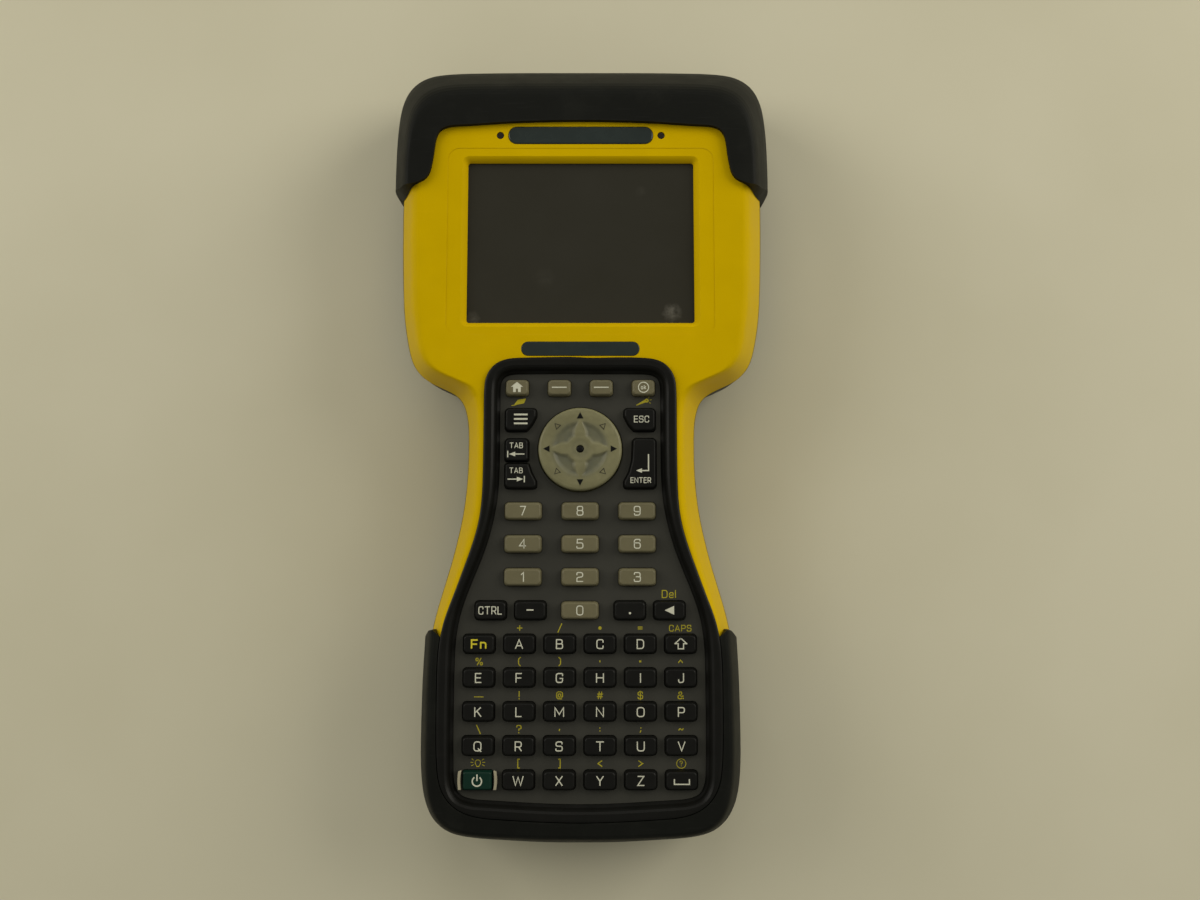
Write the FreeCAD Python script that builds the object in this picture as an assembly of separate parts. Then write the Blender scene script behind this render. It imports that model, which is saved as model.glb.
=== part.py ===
import FreeCAD, Part
import math
import os
from FreeCAD import Vector

# Handheld field data collector, lying on its back.
# Millimetres. X to the right, Y towards the display end, Z out of the display.
# Origin: centre of the footprint, on the plane the instrument rests on.

SIDES = (-1, 1)         # left, right

# ------------------------------------------------------- driving sizes ---
FRONT_Z = 46.0          # front face of the front housing
PARTING_Z = 21.0        # parting plane between the two housings
FRONT_EDGE_Z = PARTING_Z + 0.05
FRONT_WALL_Z = 43.2     # inside of the front wall
REAR_Z = 3.0            # rear face outside the raised plateau
GRIP_Z = 10.0           # rear face of the grip
GRIP_Y0, GRIP_Y1 = -92.0, 27.0
WALL = 2.4
FRAME_TOP = 47.3        # highest face of the keypad frame
BOOT_EDGE_Y = -65.8     # straight upper edge of the boot

# housing screws: x, y, z of the head seat, end of the hole, end of the boss
SCREWS = [(51.0, 97.5, 6.2, 39.0, 42.4), (50.6, 36.5, 6.2, 39.0, 42.4),
          (38.3, -60.0, 13.2, 34.0, 36.0), (36.0, -112.0, 6.2, 34.0, 36.0)]
SCREW_R, HEAD_R = 1.5, 2.9
CAP_SCREW_X, CAP_SCREW_Z = 40.0, 13.5

# display window
WIN_Y0, WIN_Y1 = 36.7, 91.0
WIN_CY = (WIN_Y0 + WIN_Y1) / 2
WIN_W, WIN_H = 75.0, WIN_Y1 - WIN_Y0
BEVEL = 1.3

# name plates (y, length, height) and indicator lenses
UPPER_PLATE = (99.75, 48.0, 5.9)
LOWER_PLATE = (27.65, 38.4, 4.6)
LENS_X, LENS_Y, LENS_R = 26.7, 99.75, 1.2

STYLUS_X, STYLUS_Z = 22.0, 30.5
STYLUS_R, SILO_R = 2.95, 3.15

# card sockets, one each side of the axis
CARD_X0, CARD_X1, CARD_Z0, CARD_Z1 = 3.6, 45.9, 22.7, 28.7
CARD_GAP = 0.1

# battery, its door and the speaker
BAT_X, BAT_Y0, BAT_Y1, BAT_Z0, BAT_Z1 = 36.0, 31.5, 88.5, 3.1, 23.6
BAT_CY = (BAT_Y0 + BAT_Y1) / 2
BAT_GAP, BAY_WALL = 0.4, 2.2
DOOR_X, DOOR_Y0, DOOR_Y1 = 44.0, 30.9, 92.0
DOOR_CY = (DOOR_Y0 + DOOR_Y1) / 2
DOOR_GAP = 0.25
DOOR_SCREW_X, DOOR_SCREW_Y = 40.4, 61.4
SPEAKER_Y = 97.4

# connectors in the keypad end
CON_Z = 12.6
SERIAL_X, USB_X, JACK_X = -17.0, 8.5, 22.0

# port cover and its recess in the boot
COVER_X0, COVER_Z0, COVER_Z1, COVER_Y = 1.2, 5.6, 19.6, -130.0
RECESS_X1 = 31.5
HINGE_X, HINGE_Y, HINGE_R = 30.4, -131.05, 0.85

# hand strap
BAR_YS = (-80.5, 15.5)
BAR_Z, BAR_R = 5.3, 1.5
STRAP_CY, STRAP_L = sum(BAR_YS) / 2, BAR_YS[1] - BAR_YS[0]

# ------------------------------------------------------------ outlines ---
# x, y of the right half, from the display end to the keypad end.
# Widest outline of the housings, at the parting plane
BODY_HALF = [
    (0, 129.2), (16, 129.1), (30, 128.7), (41, 127.8), (49.2, 126.0), (55.2, 122.6),
    (59.2, 117.4), (61.4, 110.5), (62.3, 100), (62.6, 85), (62.5, 68), (62.1, 54), (61.3, 42),
    (59.9, 33.3), (57.2, 25.5), (54.6, 22.5), (51.4, 20.3), (47.6, 18.5), (44.2, 16.8),
    (41.3, 14.2), (39.8, 11), (38.9, 6.5), (38.6, -1), (38.7, -9), (39.2, -17), (40.3, -25.5),
    (42.0, -33.8), (44.2, -42.5), (46.8, -51.3), (49.2, -60), (50.6, -68), (51.2, -78),
    (51.3, -92), (51.0, -104), (49.6, -113.5), (46.0, -120.8), (40, -125.6), (31, -128),
    (17, -129), (0, -129.2)]
# Narrower outline that the housings taper towards
FACE_HALF = [
    (0, 111.6), (13, 111.5), (24.5, 111.3), (34.5, 110.8), (42.0, 109.7), (47.6, 107.6),
    (51.5, 104.0), (53.8, 98.8), (54.8, 91.5), (55, 81), (54.9, 68), (54.6, 54), (54.0, 42),
    (52.9, 33.3), (50.8, 24.6), (48.8, 21.9), (46.3, 20.1), (42.9, 18.5), (39.3, 16.9),
    (35.9, 14.9), (33.8, 12.0), (32.8, 7.5), (32.5, -1), (32.5, -10), (32.7, -18.5),
    (33.6, -26.8), (35.5, -34.8), (38.0, -43.2), (40.9, -52), (43.5, -60.3), (44.9, -68),
    (45.6, -78), (45.7, -91.5), (45.6, -102.5), (44.6, -110.8), (41.6, -116.6), (37, -120.4),
    (29.5, -122.6), (16, -123.4), (0, -123.6)]
# Outside of the keypad frame
FRAME_HALF = [
    (0, 24.7), (12, 24.7), (21, 24.5), (24.8, 23.9), (27.4, 22.6), (29.3, 20.6), (30.6, 17.8),
    (31.05, 14), (31.1, 6), (31.1, -5), (31.2, -15), (31.5, -22), (32.6, -29.6),
    (34.8, -37.3), (37.5, -44.9), (40.3, -52.5), (43.0, -60), (44.4, -67), (44.9, -74),
    (45.0, -84.6), (44.9, -97), (44.5, -105.5), (43.5, -111), (41.4, -115), (38, -118.1),
    (33.5, -120), (25, -121.1), (12.5, -121.8), (0, -122.1)]
# Opening of the keypad frame
MAT_HALF = [
    (0, 19.7), (10, 19.7), (19, 19.65), (22.6, 19.4), (24.7, 18.5), (25.8, 16.8), (26.15, 14),
    (26.15, 6), (26.15, -5), (26.3, -15), (26.9, -22), (28.3, -29.6), (30.5, -37.3),
    (33.4, -44.9), (36.4, -52.5), (38.6, -60), (39.6, -67), (39.9, -75), (39.95, -85),
    (39.95, -97), (39.8, -105.5), (39.3, -110.8), (37.8, -113.7), (34.8, -115.2),
    (30, -115.8), (25, -116.1), (12.5, -116.8), (0, -117.1)]

# x, y of the right half of each end piece, from its open edge to the axis:
# the widest outline and the one it tapers towards at the front
CAP_EDGE_Y = 70.0
CAP_WIDE = [
    (65.5, 70), (65.5, 85), (65.5, 95), (65.2, 106), (64.5, 114.5), (63.0, 121.4),
    (60.2, 126.4), (55.4, 129.9), (48.3, 131.5), (38, 132.0), (19, 132.2), (0, 132.2)]
CAP_FACE = [
    (57.6, 70), (57.6, 85), (57.4, 92), (56.8, 99), (55.6, 104.6), (53.4, 108.9),
    (50.0, 112.0), (45.4, 113.8), (39, 114.5), (30, 114.7), (15, 114.8), (0, 114.8)]
BOOT_OPEN_Y = -55.0
BOOT_WIDE = [
    (52.4, -55), (52.6, -66), (53.1, -76), (53.4, -88), (53.5, -100), (53.2, -110.5),
    (52.0, -118.5), (49.2, -124.8), (44.6, -128.8), (38, -130.9), (27, -132.0),
    (13.5, -132.8), (0, -133)]
BOOT_FACE = [
    (46.6, -55), (46.9, -66), (47.4, -76), (47.7, -88), (47.8, -98), (47.6, -107.0),
    (46.6, -114.4), (44.2, -120.4), (40.2, -124.0), (34.5, -125.6), (24.5, -126.3),
    (12.5, -126.8), (0, -126.9)]
# x, y of the lower edge of the top cap, from the axis to the right
CAP_EDGE = [
    (0, 104.3), (14, 104.1), (28, 103.5), (40, 102.7), (44.2, 102.2), (46.6, 100.8),
    (47.8, 98.4), (48.4, 94.4), (49.2, 89.2), (49.9, 86.6), (51.3, 84.6), (53.4, 83.4),
    (56.5, 82.5), (60.0, 83.2), (63.4, 86.2), (66.0, 88.6), (72, 92)]
# x, y of the upper edge of the boot, right half
BOOT_EDGE = [(36, BOOT_EDGE_Y), (43.4, BOOT_EDGE_Y), (46.6, -62.9), (48.4, -63.2),
             (52.2, -66.2), (54, -67.5), (70, -40)]

# z, taper: 0 is the widest outline, 1 the narrower one
FRONT_TAPER = [(FRONT_EDGE_Z, 0.0), (25.0, 0.13), (30.0, 0.30), (35.0, 0.485), (39.0, 0.64),
               (41.5, 0.745), (43.0, 0.82), (44.1, 0.89), (44.9, 0.96), (45.4, 1.03),
               (45.72, 1.10), (45.91, 1.18), (FRONT_Z, 1.30)]
REAR_TAPER = [(REAR_Z, 1.02), (3.2, 0.84), (3.7, 0.69), (4.6, 0.55), (6.0, 0.43),
              (8.0, 0.32), (10.5, 0.235), (13.5, 0.16), (17.0, 0.075), (PARTING_Z, -0.018)]
CAP_TAPER = [(20.0, 0.0), (24.0, 0.05), (29.0, 0.18), (34.0, 0.35), (38.5, 0.53),
             (42.0, 0.68), (44.5, 0.79), (46.2, 0.885), (47.2, 0.96), (47.7, 1.02),
             (47.93, 1.08), (48.0, 1.15)]
BOOT_TAPER = [(20.0, 0.0), (24.0, 0.08), (29.0, 0.22), (34.0, 0.38), (38.5, 0.55),
              (42.0, 0.70), (44.2, 0.80), (45.6, 0.885), (46.4, 0.96), (46.8, 1.03),
              (47.0, 1.16)]
# z, inset from the widest outline, for the rounded rear edge
CAP_INSET = [(0.0, 7.5), (0.35, 5.6), (1.4, 3.6), (4.0, 1.9), (9.0, 0.5), (16.0, 0.0)]
BOOT_INSET = [(0.0, 6.5), (0.35, 4.8), (1.4, 3.0), (4.0, 1.5), (9.0, 0.4), (16.0, 0.0)]


# ------------------------------------------------------------- helpers ---
def mirrored_ring(half):
    """Closed ring of points from a right half that starts and ends on the axis."""
    return half + [(-x, y) for x, y in half[-2:0:-1]]


def offset(points, distance, closed=True):
    """Moves each point to the left of travel, which is outwards on a clockwise ring."""
    count = len(points)
    moved = []
    for i, (x, y) in enumerate(points):
        if closed:
            before, after = points[i - 1], points[(i + 1) % count]
        else:
            before, after = points[max(i - 1, 0)], points[min(i + 1, count - 1)]
        dx, dy = after[0] - before[0], after[1] - before[1]
        length = math.hypot(dx, dy)
        moved.append((x + distance * (-dy / length), y + distance * (dx / length)))
    return moved


def mix(start, end, t):
    return [(p[0] + (q[0] - p[0]) * t, p[1] + (q[1] - p[1]) * t) for p, q in zip(start, end)]


def spline_edges(spline, pieces):
    """The spline cut at its own knots into short edges."""
    knots = spline.getKnots()
    cuts = [knots[round(i * (len(knots) - 1) / pieces)] for i in range(pieces + 1)]
    return [spline.toShape(a, b) for a, b in zip(cuts, cuts[1:])]


def ring_wire(points, z):
    spline = Part.BSplineCurve()
    spline.interpolate(Points=[Vector(x, y, z) for x, y in points], PeriodicFlag=True)
    return Part.Wire(spline_edges(spline, max(4, len(points) // 9)))


def prism(points, z0, z1):
    """Prism over a smooth ring."""
    return Part.Face(ring_wire(points, z0)).extrude(Vector(0, 0, z1 - z0))


def ruled_loft(wires):
    solid = Part.makeLoft(wires, True, True)
    return solid if solid.Volume > 0 else solid.reversed()


def ring_loft(sections):
    """Loft through (points, z) rings."""
    return ruled_loft([ring_wire(points, z) for points, z in sections])


def end_loft(sections):
    """Loft of rings made of one spline round the end and one straight closing line."""
    wires = []
    for half, z in sections:
        points = [(-x, y) for x, y in half] + half[-2::-1]
        vectors = [Vector(x, y, z) for x, y in points]
        spline = Part.BSplineCurve()
        spline.interpolate(Points=vectors)
        closing = Part.makeLine(vectors[-1], vectors[0])
        wires.append(Part.Wire(spline_edges(spline, 4) + [closing]))
    return ruled_loft(wires)


def end_piece(wide, face, insets, tapers, inward, edge_y):
    """Outer body of an end piece; inward is the offset sign that shrinks the outline."""
    sections = [(offset(wide, inward * inset, False), z) for z, inset in insets]
    sections += [(mix(wide, face, t), z) for z, t in tapers]
    for half, _ in sections:
        half[0] = (half[0][0], edge_y)
        half[-1] = (0, half[-1][1])
    return end_loft(sections)


def box(x0, x1, y0, y1, z0, z1):
    return Part.makeBox(x1 - x0, y1 - y0, z1 - z0, Vector(x0, y0, z0))


def side_box(side, x0, x1, *yz):
    """Box on the right (side 1) or mirrored to the left (side -1)."""
    left, right = sorted((side * x0, side * x1))
    return box(left, right, *yz)


def con_box(x, half_w, y0, y1, half_h):
    """Box centred on an end connector."""
    return box(x - half_w, x + half_w, y0, y1, CON_Z - half_h, CON_Z + half_h)


def cyl(r, x, y, z0, z1):
    return Part.makeCylinder(r, z1 - z0, Vector(x, y, z0), Vector(0, 0, 1))


def cyl_y(r, x, z, y0, y1):
    return Part.makeCylinder(r, y1 - y0, Vector(x, y0, z), Vector(0, 1, 0))


def cyl_x(r, y, z, x0, x1):
    return Part.makeCylinder(r, x1 - x0, Vector(x0, y, z), Vector(1, 0, 0))


def corner_radii(points, radius, extra=0.0):
    """One radius per corner, from one number or a list."""
    radii = radius if isinstance(radius, list) else [radius] * len(points)
    return [r + extra for r in radii]


def round_wire(points, radius, z):
    """Closed polygon with rounded corners."""
    corners = [Vector(x, y, z) for x, y in points]
    count = len(corners)
    arcs = []
    for i, r in enumerate(corner_radii(points, radius)):
        corner = corners[i]
        back, ahead = corners[i - 1] - corner, corners[(i + 1) % count] - corner
        back_l, ahead_l = back.Length, ahead.Length
        back, ahead = back / back_l, ahead / ahead_l
        half = math.acos(max(-1, min(1, back.dot(ahead)))) / 2
        trim = min(r / math.tan(half), 0.48 * back_l, 0.48 * ahead_l)
        r = trim * math.tan(half)
        middle = back + ahead
        middle = middle / middle.Length
        arcs.append((corner + back * trim, corner + middle * (r / math.sin(half) - r),
                     corner + ahead * trim))
    edges = []
    for i, (start, middle, end) in enumerate(arcs):
        edges.append(Part.Arc(start, middle, end).toShape())
        following = arcs[(i + 1) % count][0]
        if (following - end).Length > 1e-6:
            edges.append(Part.makeLine(end, following))
    return Part.Wire(edges)


def grow(points, distance):
    """Moves the straight sides of a polygon outwards, whichever way it runs."""
    sides = list(zip(points, points[1:] + points[:1]))
    area = sum(a[0] * b[1] - b[0] * a[1] for a, b in sides)
    sign = 1 if area > 0 else -1
    lines = []
    for (x0, y0), (x1, y1) in sides:
        length = math.hypot(x1 - x0, y1 - y0)
        nx, ny = sign * (y1 - y0) / length, -sign * (x1 - x0) / length
        lines.append((nx, ny, nx * x0 + ny * y0 + distance))
    grown = []
    for i, (a2, b2, c2) in enumerate(lines):
        a1, b1, c1 = lines[i - 1]
        det = a1 * b2 - a2 * b1
        grown.append(((c1 * b2 - c2 * b1) / det, (a1 * c2 - a2 * c1) / det))
    return grown


def rect(cx, cy, w, h):
    return [(cx - w / 2, cy - h / 2), (cx + w / 2, cy - h / 2),
            (cx + w / 2, cy + h / 2), (cx - w / 2, cy + h / 2)]


def round_prism(points, radius, z0, z1):
    return Part.Face(round_wire(points, radius, z0)).extrude(Vector(0, 0, z1 - z0))


def slab(cx, cy, w, h, r, z0, z1):
    """Rectangular plate with rounded corners."""
    return round_prism(rect(cx, cy, w, h), r, z0, z1)


def cut_all(shape, tools):
    for tool in tools:
        shape = shape.cut(tool)
    return shape


def main_solids(shape):
    """The solids of a shape without slivers, largest first."""
    kept = [s for s in shape.Solids if s.BoundBox.DiagonalLength > 1.0]
    kept.sort(key=lambda s: -s.BoundBox.DiagonalLength)
    return kept[0] if len(kept) == 1 else Part.makeCompound(kept)


def clean(shape):
    """Merges split faces where that leaves the shape sound."""
    # removeSplitter can fail on spline faces; the unmerged shape then stands
    try:
        merged = shape.removeSplitter()
        same_count = len(merged.Solids) == len(shape.Solids)
        same_volume = abs(merged.Volume - shape.Volume) < 1e-4 * abs(shape.Volume)
        if merged.isValid() and same_count and same_volume:
            return merged
    except Exception:
        pass
    return shape


def fillet(shape, r, *levels):
    """Rounds the edges that lie flat at the given z levels."""
    def is_flat(edge, z):
        bounds = edge.BoundBox
        return abs(bounds.ZMin - z) < 1e-4 and abs(bounds.ZMax - z) < 1e-4

    edges = [e for e in shape.Edges if any(is_flat(e, z) for z in levels)]
    if not edges:
        return shape
    # the fillet can fail on short or tight edges; the sharp shape then stands
    try:
        rounded = shape.makeFillet(r, edges)
        if rounded.isValid():
            return rounded
    except Exception:
        pass
    return shape


def screw(x, y, head_z0, head_z1, end_z, r, head_r, slot=0.7):
    """Cross-slotted screw with its head facing the rear and its shank towards the front."""
    shape = cyl(head_r, x, y, head_z0, head_z1).fuse(cyl(r, x, y, head_z1 - 0.01, end_z))
    reach, half_w = head_r * 0.62, 0.4
    for dx, dy in ((reach, half_w), (half_w, reach)):
        shape = shape.cut(box(x - dx, x + dx, y - dy, y + dy, head_z0 - 1, head_z0 + slot))
    return shape


# ------------------------------------------------------------ housings ---
BODY = mirrored_ring(BODY_HALF)
FACE = mirrored_ring(FACE_HALF)
FRAME = mirrored_ring(FRAME_HALF)
MAT = mirrored_ring(MAT_HALF)
WINDOW = rect(0, WIN_CY, WIN_W, WIN_H)


def housing_ring(t):
    return mix(BODY, FACE, t)


def ring_at(tapers, z):
    """Housing ring at a height between the stations."""
    for (z0, t0), (z1, t1) in zip(tapers, tapers[1:]):
        if z0 <= z <= z1:
            return housing_ring(t0 + (t1 - t0) * (z - z0) / (z1 - z0))


def housing_outer(tapers):
    return ring_loft([(housing_ring(t), z) for z, t in tapers])


def front_core(inset, z0, z1):
    """Body that follows the inside of the front housing."""
    levels = [(FRONT_EDGE_Z, z0), (32.0, 32.0), (FRONT_WALL_Z, z1)]
    return ring_loft([(offset(ring_at(FRONT_TAPER, at), -inset), z) for at, z in levels])


def plate(y, length, height, z0, z1):
    """Plate with nearly semicircular ends."""
    return slab(0, y, length, height, height / 2 - 0.01, z0, z1)


def plate_recess(y, length, height):
    return plate(y, length + 0.2, height + 0.2, 45.1, 47)


def front_housing():
    window_bevel = Part.makeLoft([
        round_wire(WINDOW, 0.9, 43.7),
        round_wire(grow(WINDOW, BEVEL), 2.0, 45.6),
        round_wire(grow(WINDOW, BEVEL + 0.9), 2.8, 46.1)], True, False)
    front = housing_outer(FRONT_TAPER).cut(
        front_core(WALL, FRONT_EDGE_Z - 0.5, FRONT_WALL_Z))

    # screw bosses, ribs from the lower ones outwards, and the stylus silo
    bosses = []
    for x, y, _, _, boss_end in SCREWS:
        for side in SIDES:
            bosses.append(cyl(3.6, side * x, y, FRONT_EDGE_Z, boss_end))
            if y < 0:
                bosses.append(side_box(side, x, x + 9, y - 1, y + 1, FRONT_EDGE_Z, boss_end))
    bosses.append(cyl_y(4.4, STYLUS_X, STYLUS_Z, -128, -30))
    inside = front_core(0.8, FRONT_EDGE_Z, FRONT_WALL_Z + 0.4)
    front = front.fuse(bosses[0].fuse(bosses[1:]).common(inside))

    tools = [round_prism(WINDOW, 0.9, 40, 47),
             window_bevel,
             prism(offset(FRAME, 0.15), 40.0, 48.0),
             # step that the front of the boot covers
             box(-70, 70, -140, BOOT_EDGE_Y + 0.2, 43.3, 50),
             # shallow panel round the window
             slab(0, 63.9, 88.0, 63.0, 4.0, 45.86, 47.5),
             plate_recess(*UPPER_PLATE),
             plate_recess(*LOWER_PLATE)]
    for side in SIDES:
        tools.append(cyl(LENS_R + 0.05, side * LENS_X, LENS_Y, 42, 47))
        tools.append(side_box(side, CARD_X0 - CARD_GAP, CARD_X1 + CARD_GAP, 112, 135,
                              CARD_Z0 - CARD_GAP, CARD_Z1 + CARD_GAP))
    for x, y, _, hole_end, _ in SCREWS:
        for side in SIDES:
            tools.append(cyl(SCREW_R + 0.05, side * x, y, 15, hole_end))
    tools.append(cyl_y(SILO_R, STYLUS_X, STYLUS_Z, -140, -33))
    return main_solids(cut_all(front, tools))


def grip_scoop(z_top, margin):
    """Prism across the rear of the grip, with eased ramps at both ends."""
    y0, y1 = GRIP_Y0 - margin, GRIP_Y1 + margin
    low, ramp, steps, start = -5.0, 7.0, 7, REAR_Z - 0.1
    eased = [(ramp * t, start + (z_top - start) * (3 * t * t - 2 * t ** 3))
             for t in (i / steps for i in range(steps + 1))]
    profile = [(y0, low)] + [(y0 + dy, z) for dy, z in eased]
    profile += [(y1 - dy, z) for dy, z in eased[::-1]] + [(y1, low)]
    wire = Part.makePolygon([Vector(-80, y, z) for y, z in profile + profile[:1]])
    return Part.Face(wire).extrude(Vector(160, 0, 0))


def rear_housing():
    outer = housing_outer(REAR_TAPER)
    plateau_rect = rect(0, 66.05, 94.4, 73.1)
    # growth, corner radius, z
    plateau = Part.makeLoft([round_wire(grow(plateau_rect, -1.2), 5.5, 0.0),
                             round_wire(grow(plateau_rect, -0.35), 6.3, 0.35),
                             round_wire(plateau_rect, 6.6, 1.2),
                             round_wire(plateau_rect, 6.6, 3.4)], True, False)
    cavity_rings = [(ring_at(REAR_TAPER, 6.2), REAR_Z + 2.6), (ring_at(REAR_TAPER, 8.6), 8.4),
                    (ring_at(REAR_TAPER, 13.0), 13.0), (BODY, PARTING_Z + 0.5)]
    cavity = ring_loft([(offset(ring, -WALL), z) for ring, z in cavity_rings])
    # the cavity keeps clear of the hollowed grip by a wall
    rear = outer.fuse(plateau).cut(cavity.cut(grip_scoop(GRIP_Z + 2.6, 2.5)))
    rear = rear.cut(grip_scoop(GRIP_Z, 0.0))

    # battery bay walls and bosses
    bosses = [box(-BAT_X - BAY_WALL, BAT_X + BAY_WALL, BAT_Y0 - BAY_WALL, BAT_Y1 + BAY_WALL,
                  3.5, BAT_Z1 + 2.0)]
    for side in SIDES:
        bosses.append(cyl(3.4, side * DOOR_SCREW_X, DOOR_SCREW_Y, 4.0, 11.0))
        for x, y, seat_z, _, _ in SCREWS:
            bosses.append(cyl(3.9, side * x, y, seat_z - 3.0, PARTING_Z))
        bosses.append(cyl_y(3.6, side * CAP_SCREW_X, CAP_SCREW_Z, 112.5, 126.9))
    limit = outer.fuse(box(-60, 60, 20, 110, 18, 40))
    rear = rear.fuse(bosses[0].fuse(bosses[1:]).common(limit))

    # strap lugs
    lugs = []
    for bar_y in BAR_YS:
        for side in SIDES:
            x0, x1 = sorted((side * 23.5, side * 28.0))
            lugs += [box(x0, x1, bar_y - 4.0, bar_y + 4.0, BAR_Z, 11.5),
                     cyl_x(4.0, bar_y, BAR_Z, x0, x1)]
    rear = rear.fuse(lugs)

    tools = [cyl_x(BAR_R + 0.04, bar_y, BAR_Z, -27.0, 27.0) for bar_y in BAR_YS]
    # battery bay and door recess
    tools.append(slab(0, BAT_CY, 2 * BAT_X + 2 * BAT_GAP, BAT_Y1 - BAT_Y0 + 2 * BAT_GAP,
                      2.0, -1, BAT_Z1 + BAT_GAP))
    tools.append(slab(0, DOOR_CY, 2 * DOOR_X + 2 * DOOR_GAP, DOOR_Y1 - DOOR_Y0 + 2 * DOOR_GAP,
                      4.0, -1, 2.5))
    for side in SIDES:
        tools.append(cyl(1.3, side * DOOR_SCREW_X, DOOR_SCREW_Y, 0, 9.5))
        for x, y, seat_z, _, _ in SCREWS:
            tools.append(cyl(SCREW_R + 0.2, side * x, y, -1, 30))
            tools.append(cyl(HEAD_R + 0.3, side * x, y, -1, seat_z))
        tools.append(cyl_y(1.3, side * CAP_SCREW_X, CAP_SCREW_Z, 113.6, 135))
    # speaker grille
    tools += [cyl(0.7, i * 3.0, SPEAKER_Y, -1, 7) for i in range(-2, 3)]
    # openings for the end connectors
    tools += [con_box(SERIAL_X, 14.5, -140, -120, 5.6), con_box(USB_X, 5.7, -140, -120, 3.7),
              cyl_y(4.2, JACK_X, CON_Z, -140, -120)]
    # seal groove
    tools.append(prism(offset(BODY, -0.55), 19.7, 21.5).cut(
        prism(offset(BODY, -1.65), 19.5, 21.6)))
    return main_solids(cut_all(rear, tools))


def housing_seal():
    return prism(offset(BODY, -0.65), 19.75, 21.04).cut(
        prism(offset(BODY, -1.55), 19.0, 22.0))


def housing_screws():
    return Part.makeCompound([
        screw(side * x, y, seat_z - 2.2, seat_z - 0.02, hole_end - 0.5, SCREW_R, HEAD_R)
        for x, y, seat_z, hole_end, _ in SCREWS for side in SIDES])


# ---------------------------------------------------- top cap and boot ---
# space the housings take, with slip clearance
SLIP, PARTING_SLIP = 0.18, 0.32
REAR_SPACE = ring_loft(
    [(offset(housing_ring(t), SLIP), z - (SLIP if z < 4 else 0.0))
     for z, t in REAR_TAPER[:-1]]
    + [(offset(BODY, PARTING_SLIP), PARTING_Z + dz) for dz in (-0.3, 0.3)])
FRONT_SPACE = ring_loft(
    [(offset(BODY, SLIP), PARTING_Z - 0.3)]
    + [(offset(housing_ring(t), SLIP), z + (SLIP if z > 45 else 0.0))
       for z, t in FRONT_TAPER[1:]])

BOOT_OUTER = end_piece(BOOT_WIDE, BOOT_FACE, BOOT_INSET, BOOT_TAPER, -1, BOOT_OPEN_Y)


def top_cap():
    outer = end_piece(CAP_WIDE, CAP_FACE, CAP_INSET, CAP_TAPER, 1, CAP_EDGE_Y)
    cap = outer.cut(REAR_SPACE).cut(FRONT_SPACE)
    # everything below the curved lower edge goes
    edge_points = [(-x, y) for x, y in CAP_EDGE[::-1]] + CAP_EDGE[1:]
    edge = Part.BSplineCurve()
    edge.interpolate(Points=[Vector(x, y, -2) for x, y in edge_points])
    corners = [Vector(x, y, -2) for x, y in ((72, 92), (72, 60), (-72, 60), (-72, 92))]
    lines = [Part.makeLine(a, b) for a, b in zip(corners, corners[1:])]
    below = Part.Face(Part.Wire([edge.toShape()] + lines))
    cap = cap.cut(below.extrude(Vector(0, 0, 56)))
    for side in SIDES:
        cap = cap.cut(cyl_y(1.75, side * CAP_SCREW_X, CAP_SCREW_Z, 120, 140))
        cap = cap.cut(cyl_y(3.4, side * CAP_SCREW_X, CAP_SCREW_Z, 129.9, 140))
    return main_solids(cap)


def cap_screws():
    screws = []
    for side in SIDES:
        x, z = side * CAP_SCREW_X, CAP_SCREW_Z
        shape = cyl_y(3.1, x, z, 130.0, 131.4).fuse(cyl_y(1.2, x, z, 114.0, 130.01))
        screws.append(shape.cut(box(x - 3.2, x + 3.2, 130.6, 134, z - 0.45, z + 0.45)))
    return Part.makeCompound(screws)


def bottom_boot():
    # the boot keeps a lip over the step in the front housing
    space = REAR_SPACE.fuse(FRONT_SPACE.common(box(-80, 80, -140, -40, 20, 43.45)))
    space = space.fuse(FRONT_SPACE.common(box(-80, 80, BOOT_EDGE_Y, -40, 40, 50)))
    boot = BOOT_OUTER.cut(space).cut(prism(offset(FRAME, 0.15), 36.0, 50.0))
    edge = [(-x, y) for x, y in BOOT_EDGE[::-1]] + BOOT_EDGE
    above = Part.makePolygon([Vector(x, y, -2) for x, y in edge + edge[:1]])
    boot = boot.cut(Part.Face(above).extrude(Vector(0, 0, 56)))
    # opening behind the grip
    boot = boot.cut(round_prism([(-37, -97.5), (37, -97.5), (41, -50), (-41, -50)],
                                6.0, -2, 19.0))
    low_x, low_y = SCREWS[3][:2]
    tools = [cyl(HEAD_R + 0.5, side * low_x, low_y, -2, 6) for side in SIDES]
    tools += [con_box(SERIAL_X, 15.2, -140, -126, 6.3), con_box(USB_X, 6.1, -131, -124, 4.2),
              cyl_y(4.6, JACK_X, CON_Z, -131, -124),
              cyl_y(4.0, STYLUS_X, STYLUS_Z, -140, -118),
              box(COVER_X0 - 0.3, RECESS_X1 + 0.4, -140, COVER_Y,
                  COVER_Z0 - 0.3, COVER_Z1 + 0.3)]
    return main_solids(cut_all(boot, tools))


def port_cover():
    cover = box(COVER_X0, HINGE_X, -140, COVER_Y - 0.15, COVER_Z0, COVER_Z1)
    cover = cover.common(BOOT_OUTER)
    # notch at the free edge
    cover = cover.cut(box(COVER_X0 - 1, COVER_X0 + 3.0, -140, COVER_Y - 1.1, 9.6, 15.6))
    cover = cover.fuse(cyl(HINGE_R, HINGE_X, HINGE_Y, COVER_Z0, COVER_Z1))
    cover = cover.fuse(box(HINGE_X - 1.2, HINGE_X, HINGE_Y - 0.8, HINGE_Y + HINGE_R,
                           COVER_Z0, COVER_Z1))
    return main_solids(cover)


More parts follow.
